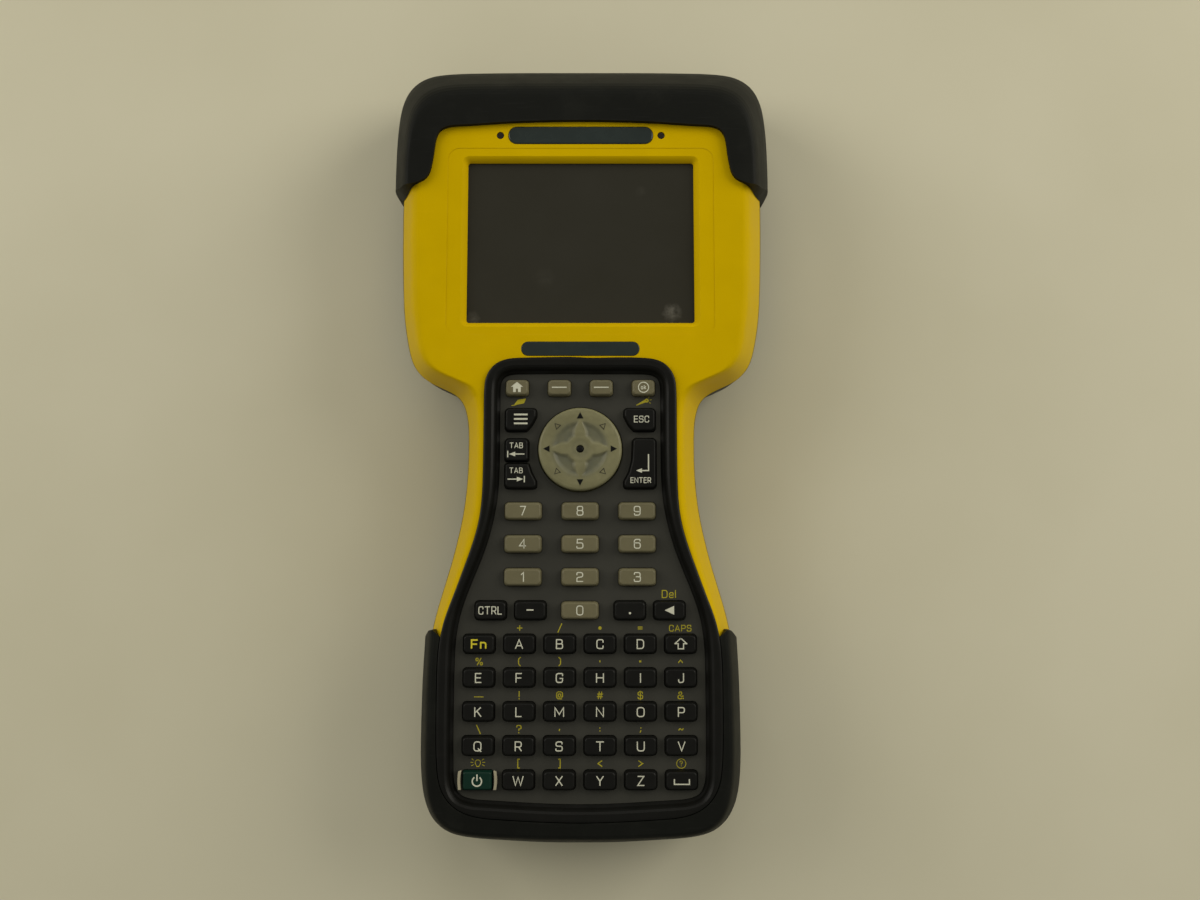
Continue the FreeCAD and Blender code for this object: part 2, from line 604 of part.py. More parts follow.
# ----------------------------------------------- connectors and stylus ---
def serial_connector():
    shape = con_box(SERIAL_X, 14.1, -127.5, -126.6, 5.2)
    outer = [(-25.5, -4.0), (-8.5, -4.0), (-7.9, 4.0), (-26.1, 4.0)]
    shell = round_prism(outer, 1.2, 0, 6.2)
    inner = [(-25.0, -3.5), (-9.0, -3.5), (-8.4, 3.5), (-25.6, 3.5)]
    shell = shell.cut(round_prism(inner, 0.9, -1, 5.4))
    # drawn flat, then turned to face the keypad end
    shell.rotate(Vector(0, 0, 0), Vector(1, 0, 0), 90)
    shell.translate(Vector(0, -126.3, CON_Z))
    shape = shape.fuse(shell).fuse(con_box(SERIAL_X, 10.5, -126.7, -119.0, 4.8))
    # pin rows: count, first x, height above the centre
    pitch = 2.77
    for count, first_x, dz in ((5, SERIAL_X - 2 * pitch, 1.42), (4, -21.15, -1.42)):
        for i in range(count):
            shape = shape.fuse(cyl_y(0.5, first_x + pitch * i, CON_Z + dz, -132.0, -126.0))
    for side in SIDES:
        shape = shape.fuse(cyl_y(1.45, SERIAL_X + side * 12.5, CON_Z, -131.0, -127.0))
    return shape


def end_connectors():
    usb = con_box(USB_X, 4.3, -128.6, -118.5, 2.4).cut(con_box(USB_X, 3.8, -130, -122, 1.9))
    usb = usb.fuse(con_box(USB_X, 2.9, -127.8, -121.9, 0.5))
    jack = cyl_y(3.9, JACK_X, CON_Z, -129.0, -117.5)
    jack = jack.cut(cyl_y(2.8, JACK_X, CON_Z, -131, -119.5))
    jack = jack.fuse(cyl_y(0.95, JACK_X, CON_Z, -127.8, -119.0))
    return Part.makeCompound([main_solids(s) for s in (serial_connector(), usb, jack)])


def stylus():
    x, z = STYLUS_X, STYLUS_Z
    shoulder_y, taper_l = -46.0, 9.0
    shape = cyl_y(STYLUS_R, x, z, -125.5, shoulder_y)
    shape = shape.fuse(Part.makeCone(STYLUS_R, 0.7, taper_l, Vector(x, shoulder_y, z),
                                     Vector(0, 1, 0)))
    shape = shape.fuse(Part.makeSphere(0.72, Vector(x, shoulder_y + taper_l - 0.05, z)))
    head = cyl_y(3.55, x, z, -129.9, -127.9)
    head = head.cut(box(x - 4, x + 4, -129.4, -128.6, z - 4, z - 2.8))
    head = head.fuse(cyl_y(STYLUS_R, x, z, -128.0, -125.4))
    return main_solids(clean(shape.fuse(head)))


# -------------------------------------------------------------- keypad ---
WEB_TOP, WEB_T = 44.0, 1.5      # web of the key mat
KEY_TOP = 46.3
KEY_GAP = 0.18                  # gap between a key and its hole in the mat
FLANGE = 0.6                    # flange beyond the key outline, under the mat
KEY_R = 1.3                     # usual corner radius
BOARD_TOP = 40.1
ROW_PITCH, COL_PITCH = 10.54, 12.78
# bottom number row, then five letter rows
ROW_Y = [-56.75 - ROW_PITCH * i for i in range(6)]
COL_X = [COL_PITCH * (i - 2.5) for i in range(6)]
NUM_PITCH = 18.3
DARK = (10.2, 6.1)              # width and height of the keys
NUM = (12.0, 5.7)
SOFT = (7.6, 5.4)
SOFT_X = [-20.5, -6.8, 6.8, 20.5]
SOFT_Y = 14.9
POWER_X = COL_X[0] - 0.05
NAV_Y, NAV_R = -5.2, 13.45
PIN_R, PIN_GAP, PIN_Z = 0.45, 0.07, 42.0    # gimbal pins, running clearance, height
PAD_BORE = 4.5                  # opening under the pad that clears the gimbal

# name: outline, corner radius or radii
KEYS = {
    "home": (rect(SOFT_X[0], SOFT_Y, *SOFT), KEY_R),
    "softkey_left": (rect(SOFT_X[1], SOFT_Y, *SOFT), KEY_R),
    "softkey_right": (rect(SOFT_X[2], SOFT_Y, *SOFT), KEY_R),
    "ok": (rect(SOFT_X[3], SOFT_Y, *SOFT), KEY_R),
    "menu": ([(-24.4, 0.6), (-17.3, 0.6), (-15.6, 2.6), (-14.1, 5.4), (-14.1, 8.3),
              (-24.4, 8.3)], [1.4, 1.2, 2.0, 1.0, 1.4, 1.4]),
    "esc": ([(17.3, 0.6), (24.4, 0.6), (24.4, 8.3), (14.1, 8.3), (14.1, 5.4),
             (15.6, 2.6)], [1.2, 1.4, 1.4, 1.4, 1.0, 2.0]),
    "tab_back": (rect(-20.5, -5.4, 7.8, 7.6), [0.8, 0.8, 1.4, 1.4]),
    "tab_forward": ([(-24.4, -18.0), (-14.0, -18.0), (-14.0, -15.6), (-15.6, -12.6),
                     (-16.5, -9.7), (-24.4, -9.7)], [1.4, 1.4, 1.0, 2.5, 0.7, 0.8]),
    "enter": ([(14.0, -18.0), (24.6, -18.0), (24.6, -1.5), (16.9, -1.5), (16.6, -8.6),
               (15.6, -12.6), (14.0, -15.6)], [1.4, 1.4, 1.4, 1.4, 2.5, 2.5, 1.0]),
}
for row, digits in enumerate(("789", "456", "123")):
    for column, digit in enumerate(digits):
        KEYS[digit] = (rect(NUM_PITCH * (column - 1), ROW_Y[0] + ROW_PITCH * (3 - row), *NUM),
                       KEY_R)
KEYS.update({
    "0": (rect(0, ROW_Y[0], *NUM), KEY_R),
    "ctrl": (rect(-28.4, ROW_Y[0], *DARK), KEY_R),
    "minus": (rect(-15.8, ROW_Y[0], *DARK), KEY_R),
    "point": (rect(15.9, ROW_Y[0], *DARK), KEY_R),
    "backspace": (rect(28.5, ROW_Y[0], *DARK), KEY_R),
    "fn": (rect(COL_X[0], ROW_Y[1], *DARK), KEY_R),
    "shift": (rect(COL_X[5], ROW_Y[1], *DARK), KEY_R),
    "power": (rect(POWER_X, ROW_Y[5], 9.4, DARK[1]), 0.7),
    "space": (rect(COL_X[5], ROW_Y[5], *DARK), KEY_R),
})
# the facing flanges of the tab keys stop short of each other
FLANGE_LIMITS = {"tab_back": box(-40, 40, -9.35, 30, 30, 50),
                 "tab_forward": box(-40, 40, -40, -9.55, 30, 50)}
# name: row, columns
LETTER_ROWS = {"a_to_d": (1, range(1, 5)), "e_to_j": (2, range(6)), "k_to_p": (3, range(6)),
               "q_to_v": (4, range(6)), "w_to_z": (5, range(1, 5))}
LETTER_KEYS = {name: [rect(COL_X[column], ROW_Y[row], *DARK) for column in columns]
               for name, (row, columns) in LETTER_ROWS.items()}


def key_solid(points, radius, flange_limit=None):
    body = ruled_loft([round_wire(points, radius, 44.2),
                       round_wire(grow(points, -0.12), radius, 45.2),
                       round_wire(grow(points, -0.42), radius, KEY_TOP)])
    body = fillet(body, 0.62, KEY_TOP)
    stem = round_prism(points, radius, 42.3, 44.2)
    flange = round_prism(grow(points, FLANGE), corner_radii(points, radius, FLANGE),
                         41.7, 42.4)
    if flange_limit is not None:
        flange = flange.common(flange_limit)
    cx = sum(x for x, _ in points) / len(points)
    cy = sum(y for _, y in points) / len(points)
    pill = cyl(1.6, cx, cy, 41.25, 41.75)
    return main_solids(clean(body.fuse(stem).fuse(flange).fuse(pill)))


def keypad_frame():
    # offset from the outline, z
    rim = [(0.0, 43.4), (0.0, 46.6), (-0.12, 47.0), (-0.45, 47.22), (-0.9, FRAME_TOP)]
    frame = ring_loft([(offset(FRAME, d), z) for d, z in rim])
    frame = frame.fuse(prism(offset(FRAME, -1.35), BOARD_TOP + 0.1, 43.5))
    slope = [(-0.02, 44.1), (0.75, 44.9), (1.35, 46.2), (1.75, 46.75), (2.5, 47.35)]
    frame = frame.cut(prism(offset(MAT, -0.02), 39.0, 44.15))
    frame = frame.cut(ring_loft([(offset(MAT, d), z) for d, z in slope]))
    return main_solids(clean(frame))


def keymat():
    outline = offset(MAT, -0.15)
    skirt = prism(outline, BOARD_TOP + 0.05, WEB_TOP - WEB_T)
    skirt = skirt.cut(prism(offset(MAT, -0.75), 39.0, 43.0))
    mat = prism(outline, WEB_TOP - WEB_T, WEB_TOP).fuse(skirt)
    outlines = list(KEYS.values())
    outlines += [(points, KEY_R) for keys in LETTER_KEYS.values() for points in keys]
    for points, radius in outlines:
        radii = corner_radii(points, radius, KEY_GAP)
        mat = mat.cut(round_prism(grow(points, KEY_GAP), radii, 41.0, 45.0))
    mat = mat.cut(cyl(NAV_R + 0.45, 0, NAV_Y, 41.0, 45.0))
    # guard ribs each side of the power key
    for side in SIDES:
        mat = mat.fuse(slab(POWER_X + side * 5.75, ROW_Y[5], 0.9, 6.0, 0.42, 43.9, 45.6))
    return main_solids(clean(mat))


def nav_pad():
    """Dished disc with a hollow foot, bored for the fore and aft gimbal pins."""
    # radius, z
    profile = [(1.25, 43.6), (1.25, 46.0), (2.0, 46.1), (4.5, 46.1), (8.5, 46.5),
               (11.6, 47.0), (12.9, 46.75), (NAV_R, 45.9), (NAV_R, 43.6)]
    wire = Part.makePolygon([Vector(r, 0, z) for r, z in profile + profile[:1]])
    disc = Part.Face(wire).revolve(Vector(0, 0, 0), Vector(0, 0, 1), 360)
    foot = cyl(NAV_R + 0.75, 0, 0, 41.1, 41.5).fuse(cyl(NAV_R - 0.6, 0, 0, 41.4, 43.7))
    disc = disc.fuse(foot.cut(cyl(PAD_BORE, 0, 0, 41, 43.6)).cut(cyl(1.25, 0, 0, 43, 44)))
    disc.translate(Vector(0, NAV_Y, 0))
    disc = disc.cut(cyl_y(PIN_R + PIN_GAP, 0, PIN_Z, NAV_Y - 5.7, NAV_Y + 5.7))
    return main_solids(clean(disc))


def nav_pad_pivot():
    """Button stem with pins across, held by the board, and pins along Y for the pad."""
    pivot = cyl(1.05, 0, NAV_Y, 41.2, 45.9).fuse(cyl(1.5, 0, NAV_Y, 41.2, 42.8))
    pivot = fillet(pivot, 0.3, 45.9)
    pivot = pivot.fuse(cyl_x(PIN_R, NAV_Y, PIN_Z, -3.7, 3.7))
    return main_solids(pivot.fuse(cyl_y(PIN_R, 0, PIN_Z, NAV_Y - 5.4, NAV_Y + 5.4)))


def keypad_board():
    board = prism(offset(FRAME, -1.5), BOARD_TOP - 1.6, BOARD_TOP)
    board = board.fuse(box(-12, 12, -30, -24, BOARD_TOP - 3.6, BOARD_TOP - 1.5))
    board = board.fuse(box(-9, 9, 6, 12, BOARD_TOP - 3.4, BOARD_TOP - 1.5))
    # saddles for the gimbal pins
    for side in SIDES:
        board = board.fuse(side_box(side, 2.6, 3.8, NAV_Y - 1.1, NAV_Y + 1.1,
                                    BOARD_TOP - 0.2, 43.0))
    return main_solids(board.cut(cyl_x(PIN_R + PIN_GAP, NAV_Y, PIN_Z, -5, 5)))


# -------------------------------------- display, board, battery, cards ---
def touch_panel():
    return slab(0, WIN_CY, WIN_W + 5.0, WIN_H + 5.0, 1.5, 41.95, 43.1)


def lcd_module():
    lcd = slab(0, WIN_CY, WIN_W + 8.0, WIN_H + 7.0, 1.5, 37.0, 41.85)
    lcd = lcd.cut(slab(0, WIN_CY, WIN_W - 0.6, WIN_H - 0.6, 0.4, 41.55, 42.5))
    lcd = lcd.fuse(box(-14, 14, WIN_Y0 - 5.5, WIN_Y0 - 3.4, 37.6, 40.8))
    return main_solids(clean(lcd))


def main_board():
    top = 31.6
    board = slab(0, 66.0, 92, 74, 2.0, 30.0, top)
    # notches round the upper bosses
    for side in SIDES:
        for _, y, *_ in SCREWS[:2]:
            board = board.cut(slab(side * 47.6, y, 5.6, 9.0, 1.2, 29, 33))
    # components: x, y, width, length, height
    for x, y, w, l, h in [(-22, 66, 17, 17, 1.6), (8, 72, 13, 10, 1.3), (26, 60, 11, 13, 1.3),
                          (-6, 46, 22, 9, 2.6), (32, 86, 9, 9, 1.8), (-38, 46, 8, 12, 2.2),
                          (18, 42, 16, 5, 3.2)]:
        board = board.fuse(box(x - w / 2, x + w / 2, y - l / 2, y + l / 2, top - 0.1, top + h))
    return main_solids(clean(board))


def card_sockets():
    sockets = []
    for side in SIDES:
        x0, x1 = sorted((side * CARD_X0, side * CARD_X1))
        socket = box(x0, x1, 91.2, 118.5, CARD_Z0, CARD_Z1)
        socket = socket.cut(box(x0 + 1.2, x1 - 1.2, 96, 125, 23.9, 27.6))
        socket = socket.fuse(box(x0 + 4, x1 - 4, 95.5, 99.5, 25.2, 26.2))
        sockets.append(main_solids(socket.cut(box(x0 + 6, x1 - 6, 104, 125, 26, 30))))
    return Part.makeCompound(sockets)


def battery_pack():
    pack = slab(0, BAT_CY, 2 * BAT_X, BAT_Y1 - BAT_Y0, 1.6, BAT_Z0, BAT_Z1)
    pack = fillet(pack, 1.2, BAT_Z0, BAT_Z1)
    for i in range(4):
        pack = pack.cut(box(-9 + i * 5, -6 + i * 5, BAT_Y1 - 6, BAT_Y1 - 2,
                            BAT_Z1 - 0.4, BAT_Z1 + 1))
    return main_solids(pack)


def battery_door():
    rear_z = 0.25
    door = slab(0, DOOR_CY, 2 * DOOR_X, DOOR_Y1 - DOOR_Y0, 3.8, rear_z, 2.4)
    door = fillet(door, 0.6, rear_z)
    # one wide groove and five narrow ones in the rear face
    door = door.cut(slab(0, 37.5, 26, 3.2, 1.5, 0.0, 0.9))
    for i in range(5):
        door = door.cut(slab(0, 52 + i * 6.0, 44, 1.6, 0.7, 0.0, 0.75))
    for side in SIDES:
        x = side * DOOR_SCREW_X
        door = door.cut(cyl(1.55, x, DOOR_SCREW_Y, -1, 3))
        door = door.cut(cyl(2.95, x, DOOR_SCREW_Y, -1, 1.5))
    return main_solids(clean(door))


def battery_door_screw(side):
    return main_solids(screw(side * DOOR_SCREW_X, DOOR_SCREW_Y, 0.3, 1.46, 8.8,
                             r=1.15, head_r=2.8, slot=0.6))


# ------------------------------------------- plates, lenses, hand strap ---
def name_plates():
    # plate, top z, edge radius
    return Part.makeCompound([fillet(plate(*size, 45.15, top), r, top) for size, top, r in (
        (UPPER_PLATE, 46.35, 0.5), (LOWER_PLATE, 46.05, 0.2))])


def indicator_lenses():
    top = 45.75
    return Part.makeCompound([fillet(cyl(LENS_R, side * LENS_X, LENS_Y, 42.6, top), 0.35, top)
                              for side in SIDES])


def strap_bars():
    return Part.makeCompound([cyl_x(BAR_R, y, BAR_Z, -26.9, 26.9) for y in BAR_YS])


def hand_strap():
    webbing = slab(0, STRAP_CY, 38.0, STRAP_L, 0.5, 4.0, 6.4)
    pad_z0, pad_z1 = 1.4, 7.4
    pad = slab(0, STRAP_CY, 52.0, STRAP_L - 18.0, 11.0, pad_z0, pad_z1)
    strap = webbing.fuse(fillet(pad, 1.9, pad_z0, pad_z1))
    for y in BAR_YS:
        strap = strap.fuse(cyl_x(3.5, y, BAR_Z, -19.0, 19.0))
    for y in BAR_YS:
        strap = strap.cut(cyl_x(BAR_R + 0.15, y, BAR_Z, -30, 30))
    return main_solids(strap)


# -------------------------------------------------------------- export ---
parts = {build.__name__: build() for build in (
    front_housing, rear_housing, housing_seal, top_cap, housing_screws, cap_screws,
    bottom_boot, port_cover, end_connectors, stylus, keypad_frame, keymat, nav_pad,
    nav_pad_pivot, touch_panel, lcd_module, main_board, keypad_board, card_sockets,
    battery_pack, battery_door, name_plates, indicator_lenses, strap_bars, hand_strap)}
parts["speaker"] = slab(0, SPEAKER_Y, 18, 7.4, 1.2, 5.7, 9.0)
parts["battery_door_screw_left"] = battery_door_screw(-1)
parts["battery_door_screw_right"] = battery_door_screw(1)
for name, (points, radius) in KEYS.items():
    parts["key_" + name] = key_solid(points, radius, FLANGE_LIMITS.get(name))
for name, outlines in LETTER_KEYS.items():
    parts["letter_keys_" + name] = Part.makeCompound(
        [key_solid(points, KEY_R) for points in outlines])

os.makedirs("parts", exist_ok=True)
for name, shape in parts.items():
    # a compound around a single solid is written as that solid
    if shape.ShapeType in ("Compound", "CompSolid") and len(shape.Solids) == 1:
        shape = shape.Solids[0]
    shape.exportStep("parts/" + name + ".step")
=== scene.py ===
"""Looks, printed legends, hand strap and stage for a hand-held computer with a keypad.

The CAD pieces load in metres. The device lies face up on the floor: +X is to the right of the
keys, +Y runs from the letter keys to the screen, and +Z points out of the face.
The hand strap lies underneath, along Y.
"""

import math

import bmesh
import bpy
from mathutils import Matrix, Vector


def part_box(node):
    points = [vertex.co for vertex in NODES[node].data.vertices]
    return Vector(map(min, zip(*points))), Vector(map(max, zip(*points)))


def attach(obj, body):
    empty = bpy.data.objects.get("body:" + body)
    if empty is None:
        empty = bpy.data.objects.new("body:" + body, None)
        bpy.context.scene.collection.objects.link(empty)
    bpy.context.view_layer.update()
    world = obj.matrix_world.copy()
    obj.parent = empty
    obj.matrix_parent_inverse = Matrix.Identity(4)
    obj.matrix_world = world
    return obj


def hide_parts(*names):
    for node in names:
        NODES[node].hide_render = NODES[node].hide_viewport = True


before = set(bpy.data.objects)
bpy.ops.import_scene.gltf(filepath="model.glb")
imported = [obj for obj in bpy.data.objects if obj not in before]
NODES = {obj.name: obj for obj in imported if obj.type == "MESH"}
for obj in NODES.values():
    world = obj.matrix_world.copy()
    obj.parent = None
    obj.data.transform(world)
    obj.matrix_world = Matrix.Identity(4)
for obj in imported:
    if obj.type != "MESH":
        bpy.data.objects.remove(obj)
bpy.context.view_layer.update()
COLLECTION = bpy.context.scene.collection
MM = 0.001      # one millimetre in metres; shapes below are given in millimetres


# ------------------------------------------------------- shader helpers ---
MATERIALS = {}
BLACK = (0, 0, 0, 1)
WHITE = (1, 1, 1, 1)


def rgba(color, gain=1.0):
    return (*(min(1.0, value * gain) for value in color), 1.0)


def lighter(color, gain, lift):
    return rgba([value * gain + lift for value in color])


class Shader:
    """A material's node tree. Node inputs take either a value or another node's socket."""

    def __init__(self, name, default_nodes=False):
        material = MATERIALS[name] = bpy.data.materials.new(name)
        material.use_nodes = True
        self.tree = material.node_tree
        if default_nodes:
            self.bsdf = self.tree.nodes["Principled BSDF"]
        else:
            self.tree.nodes.clear()
            output = self.tree.nodes.new("ShaderNodeOutputMaterial")
            self.bsdf = self.tree.nodes.new("ShaderNodeBsdfPrincipled")
            self.tree.links.new(self.bsdf.outputs[0], output.inputs[0])
        self.point = self.node("TexCoord", output="Object")

    def feed(self, node, inputs):
        for key, value in inputs.items():
            if isinstance(value, bpy.types.NodeSocket):
                self.tree.links.new(value, node.inputs[key])
            else:
                node.inputs[key].default_value = value

    def node(self, kind, inputs=None, output=0, **settings):
        """Adds a node and returns one of its output sockets."""
        node = self.tree.nodes.new("ShaderNode" + kind)
        for key, value in settings.items():
            setattr(node, key, value)
        self.feed(node, inputs or {})
        return node.outputs[output]

    def noise(self, scale, detail=3.0, roughness=0.5, at=None):
        inputs = {"Scale": scale, "Detail": detail, "Roughness": roughness,
                  "Vector": at or self.point}
        return self.node("TexNoise", inputs, output="Fac")

    def math(self, operation, *values, clamp=False):
        return self.node("Math", dict(enumerate(values)), operation=operation, use_clamp=clamp)

    def add(self, first, second):
        return self.math("ADD", first, second)

    def times(self, first, second):
        return self.math("MULTIPLY", first, second)

    def scaled(self, value, gain, offset, clamp=False):
        return self.math("MULTIPLY_ADD", value, gain, offset, clamp=clamp)

    def weighted(self, first, second, weights):
        return self.add(self.times(first, weights[0]), self.times(second, weights[1]))

    def ramp(self, value, start, end, low=BLACK, high=WHITE):
        """Colour that goes from low to high as value goes from start to end."""
        color = self.node("ValToRGB", {0: value})
        stops = zip(color.node.color_ramp.elements, (start, end), (low, high))
        for element, position, stop_color in stops:
            element.position = position
            element.color = stop_color
        return color

    def mix(self, factor, first, second):
        # 0, 6 and 7 are the factor and colour inputs of a Mix node; 2 is its colour output
        inputs = {0: factor, 6: first, 7: second}
        return self.node("Mix", inputs, output=2, data_type="RGBA")

    def xyz(self):
        return self.node("SeparateXYZ", {0: self.point}).node.outputs


def surface(name, base, roughness=0.5, tone=0.08, grain=0.3, bump=0.12, blotch=22.0, edge_wear_and_glint=0.0,
            edge_wear_and_glint_color=None, edge_wear_and_glint_width=0.5, scratch=0.0, dust=0.0,
            dust_color=(0.42, 0.40, 0.33), metallic=0.0, coat=0.0, coat_roughness=0.1,
            specular=0.5, subsurface=0.0, tint=(1.0, 1.0, 1.0)):
    """Moulded, metal or printed material.

    tone is the spread of brightness and blotch the scale of its patches. grain is the pitch of
    the fine texture and edge_wear_and_glint_width the width of the lightened edges, both in mm.
    edge_wear_and_glint, scratch and dust are strengths from 0 to 1. The lightened edges are worn
    edges, and on the name plates a painted highlight along the rim. tint colours the highlights.
    """
    shade = Shader(name)
    patches = shade.noise(scale=blotch, detail=3.0, roughness=0.55)
    mottle = shade.noise(scale=blotch * 9.0, detail=2.0, roughness=0.5)
    color = shade.ramp(shade.weighted(patches, mottle, weights=(0.7, 0.3)), start=0.34, end=0.66,
                       low=rgba(base, 1.0 - tone), high=rgba(base, 1.0 + tone))
    rough = shade.scaled(mottle, gain=0.16, offset=roughness - 0.08)
    rough = shade.add(rough, shade.scaled(patches, gain=0.10, offset=-0.05))

    # lighter edges: worn edges, and on the name plates a painted highlight along the rim
    if edge_wear_and_glint > 0:
        # the bevelled normal leaves the true one only near edges
        bevelled = shade.node("Bevel", {"Radius": edge_wear_and_glint_width * MM}, samples=4)
        normal = shade.node("NewGeometry", output="Normal")
        facing = shade.node("VectorMath", {0: bevelled, 1: normal}, output="Value",
                            operation="DOT_PRODUCT")
        edge = shade.ramp(shade.math("SUBTRACT", 1.0, facing), start=0.01, end=0.12)
        broken = shade.ramp(shade.noise(scale=160.0, detail=4.0, roughness=0.6),
                            start=0.42, end=0.62)
        worn_and_glint_mask = shade.times(shade.times(edge, broken), edge_wear_and_glint)
        worn_and_glint_color = rgba(edge_wear_and_glint_color) if edge_wear_and_glint_color else lighter(base, gain=1.8, lift=0.03)
        color = shade.mix(worn_and_glint_mask, color, worn_and_glint_color)
        polish = -0.12      # change of roughness where the edge mask is full
        rough = shade.add(rough, shade.times(worn_and_glint_mask, polish))

    if scratch > 0:
        for angle, scale in ((0.5, 90.0), (-0.9, 70.0)):
            drawn_out = shade.node("Mapping", {"Rotation": (0.0, 0.0, angle),
                                               "Scale": (1.0, 22.0, 1.0),
                                               "Vector": shade.point})
            lines = shade.noise(scale=scale, detail=2.0, roughness=0.4, at=drawn_out)
            lines = shade.times(shade.ramp(lines, start=0.695, end=0.72), scratch)
            color = shade.mix(lines, color, lighter(base, gain=1.35, lift=0.02))
            line_roughness = 0.15
            rough = shade.add(rough, shade.times(lines, line_roughness))

    if dust > 0:
        specks = shade.ramp(shade.noise(scale=60.0, detail=6.0, roughness=0.72),
                            start=0.50, end=0.80)
        color = shade.mix(shade.times(specks, dust), color, rgba(dust_color))

    least_roughness = 0.04
    shade.feed(shade.bsdf, {
        "Base Color": color,
        "Roughness": shade.math("MAXIMUM", rough, least_roughness),
        "Metallic": metallic,
        "Specular IOR Level": specular,
        "Specular Tint": rgba(tint),
        "Coat Weight": coat,
        "Coat Roughness": coat_roughness,
    })
    if subsurface > 0:
        shade.feed(shade.bsdf, {"Subsurface Weight": subsurface,
                                "Subsurface Radius": (1.0, 1.0, 0.8),
                                "Subsurface Scale": 0.0015})

    # fine grain laid over slow waviness; the cell and noise scales are cells per metre
    cells = shade.node("TexVoronoi", {"Scale": 1000.0 / grain, "Vector": shade.point},
                       output="Distance")
    fine = shade.noise(scale=600.0 / grain, detail=2.0, roughness=0.6)
    waves = shade.node("Bump", {"Strength": 0.25, "Distance": 0.15 * MM,
                                "Height": shade.noise(scale=85.0, detail=2.0, roughness=0.5)})
    texture = shade.node("Bump", {"Strength": bump, "Distance": 0.08 * MM * grain / 0.3,
                                  "Height": shade.weighted(cells, fine, weights=(0.6, 0.5)),
                                  "Normal": waves})
    shade.feed(shade.bsdf, {"Normal": texture})
    return shade


# ------------------------------------------------------------ materials ---
surface("yellow_shell", base=(0.575, 0.384, 0.0005), roughness=0.44, tone=0.05, grain=0.28,
        bump=0.16, blotch=14.0, edge_wear_and_glint=0.25, edge_wear_and_glint_color=(0.72, 0.54, 0.03), edge_wear_and_glint_width=0.6,
        scratch=0.05, dust=0.05, dust_color=(0.42, 0.31, 0.03), specular=0.04,
        tint=(1.0, 0.72, 0.02))
surface("rear_shell", base=(0.0075, 0.0075, 0.0078), roughness=0.55, tone=0.15, grain=0.45,
        bump=0.30, blotch=18.0, edge_wear_and_glint=0.4, edge_wear_and_glint_color=(0.03, 0.03, 0.03), scratch=0.18,
        dust=0.10, dust_color=(0.07, 0.067, 0.06), specular=0.22)
surface("black_rubber", base=(0.0058, 0.0063, 0.0050), roughness=0.56, tone=0.16, grain=0.5,
        bump=0.26, blotch=15.0, edge_wear_and_glint=0.35, edge_wear_and_glint_color=(0.022, 0.022, 0.018), edge_wear_and_glint_width=1.1,
        scratch=0.12, dust=0.08, dust_color=(0.06, 0.06, 0.048), specular=0.09)
surface("seal_rubber", base=(0.006, 0.006, 0.006), roughness=0.65, tone=0.1, grain=0.5,
        bump=0.2)
surface("screws", base=(0.10, 0.10, 0.105), roughness=0.38, tone=0.12, grain=0.35, bump=0.12,
        blotch=60.0, edge_wear_and_glint=0.8, edge_wear_and_glint_color=(0.55, 0.54, 0.52), edge_wear_and_glint_width=0.3, metallic=1.0)
surface("black_frame", base=(0.0045, 0.0045, 0.0036), roughness=0.42, tone=0.12, grain=0.4,
        bump=0.12, blotch=20.0, edge_wear_and_glint=0.30, edge_wear_and_glint_color=(0.022, 0.022, 0.018), edge_wear_and_glint_width=0.6,
        scratch=0.07, dust=0.06, dust_color=(0.05, 0.048, 0.04), specular=0.15)
surface("keymat_rubber", base=(0.0370, 0.0366, 0.0300), roughness=0.62, tone=0.08, grain=0.35,
        bump=0.20, blotch=25.0, dust=0.12, dust_color=(0.075, 0.070, 0.058), specular=0.18)
surface("key_black", base=(0.0042, 0.0042, 0.0034), roughness=0.44, tone=0.12, grain=0.4,
        bump=0.12, blotch=40.0, edge_wear_and_glint=0.30, edge_wear_and_glint_color=(0.020, 0.020, 0.017), edge_wear_and_glint_width=0.45,
        dust=0.06, dust_color=(0.045, 0.043, 0.036), specular=0.16)
surface("key_taupe", base=(0.135, 0.121, 0.066), roughness=0.46, tone=0.06, grain=0.4,
        bump=0.12, blotch=40.0, edge_wear_and_glint=0.45, edge_wear_and_glint_color=(0.24, 0.225, 0.15), edge_wear_and_glint_width=0.45,
        dust=0.05, dust_color=(0.20, 0.19, 0.13), subsurface=0.10, specular=0.28)
surface("key_green", base=(0.0012, 0.0200, 0.0120), roughness=0.42, tone=0.12, grain=0.4,
        bump=0.12, blotch=40.0, edge_wear_and_glint=0.35, edge_wear_and_glint_color=(0.012, 0.075, 0.055), edge_wear_and_glint_width=0.45,
        specular=0.2)
nav = surface("nav_disc", base=(0.186, 0.176, 0.092), roughness=0.44, tone=0.16, grain=0.5,
              bump=0.06, blotch=60.0, edge_wear_and_glint=0.30, edge_wear_and_glint_color=(0.25, 0.235, 0.155),
              edge_wear_and_glint_width=0.5, dust=0.06, dust_color=(0.21, 0.20, 0.14), subsurface=0.25,
              coat=0.06, coat_roughness=0.35, specular=0.26)


def darken_dishes(shade):
    """Painted shade: darkens the disc in uneven patches where its dish attribute is high, in the
    dished hollows.
    """
    plain = shade.bsdf.inputs["Base Color"].links[0].from_socket
    dish = shade.node("Attribute", output="Fac", attribute_name="dish")
    uneven = shade.noise(scale=210.0, detail=3.0, roughness=0.6,
                         at=shade.node("TexCoord", output="Object"))
    factor = shade.math("MULTIPLY", dish, shade.scaled(uneven, gain=0.9, offset=0.15),
                        clamp=True)
    # colour of the painted shade in the dished hollows
    painted_dish_shade_color = rgba((0.092, 0.098, 0.074))
    shade.feed(shade.bsdf, {"Base Color": shade.mix(factor, plain, painted_dish_shade_color)})


darken_dishes(nav)
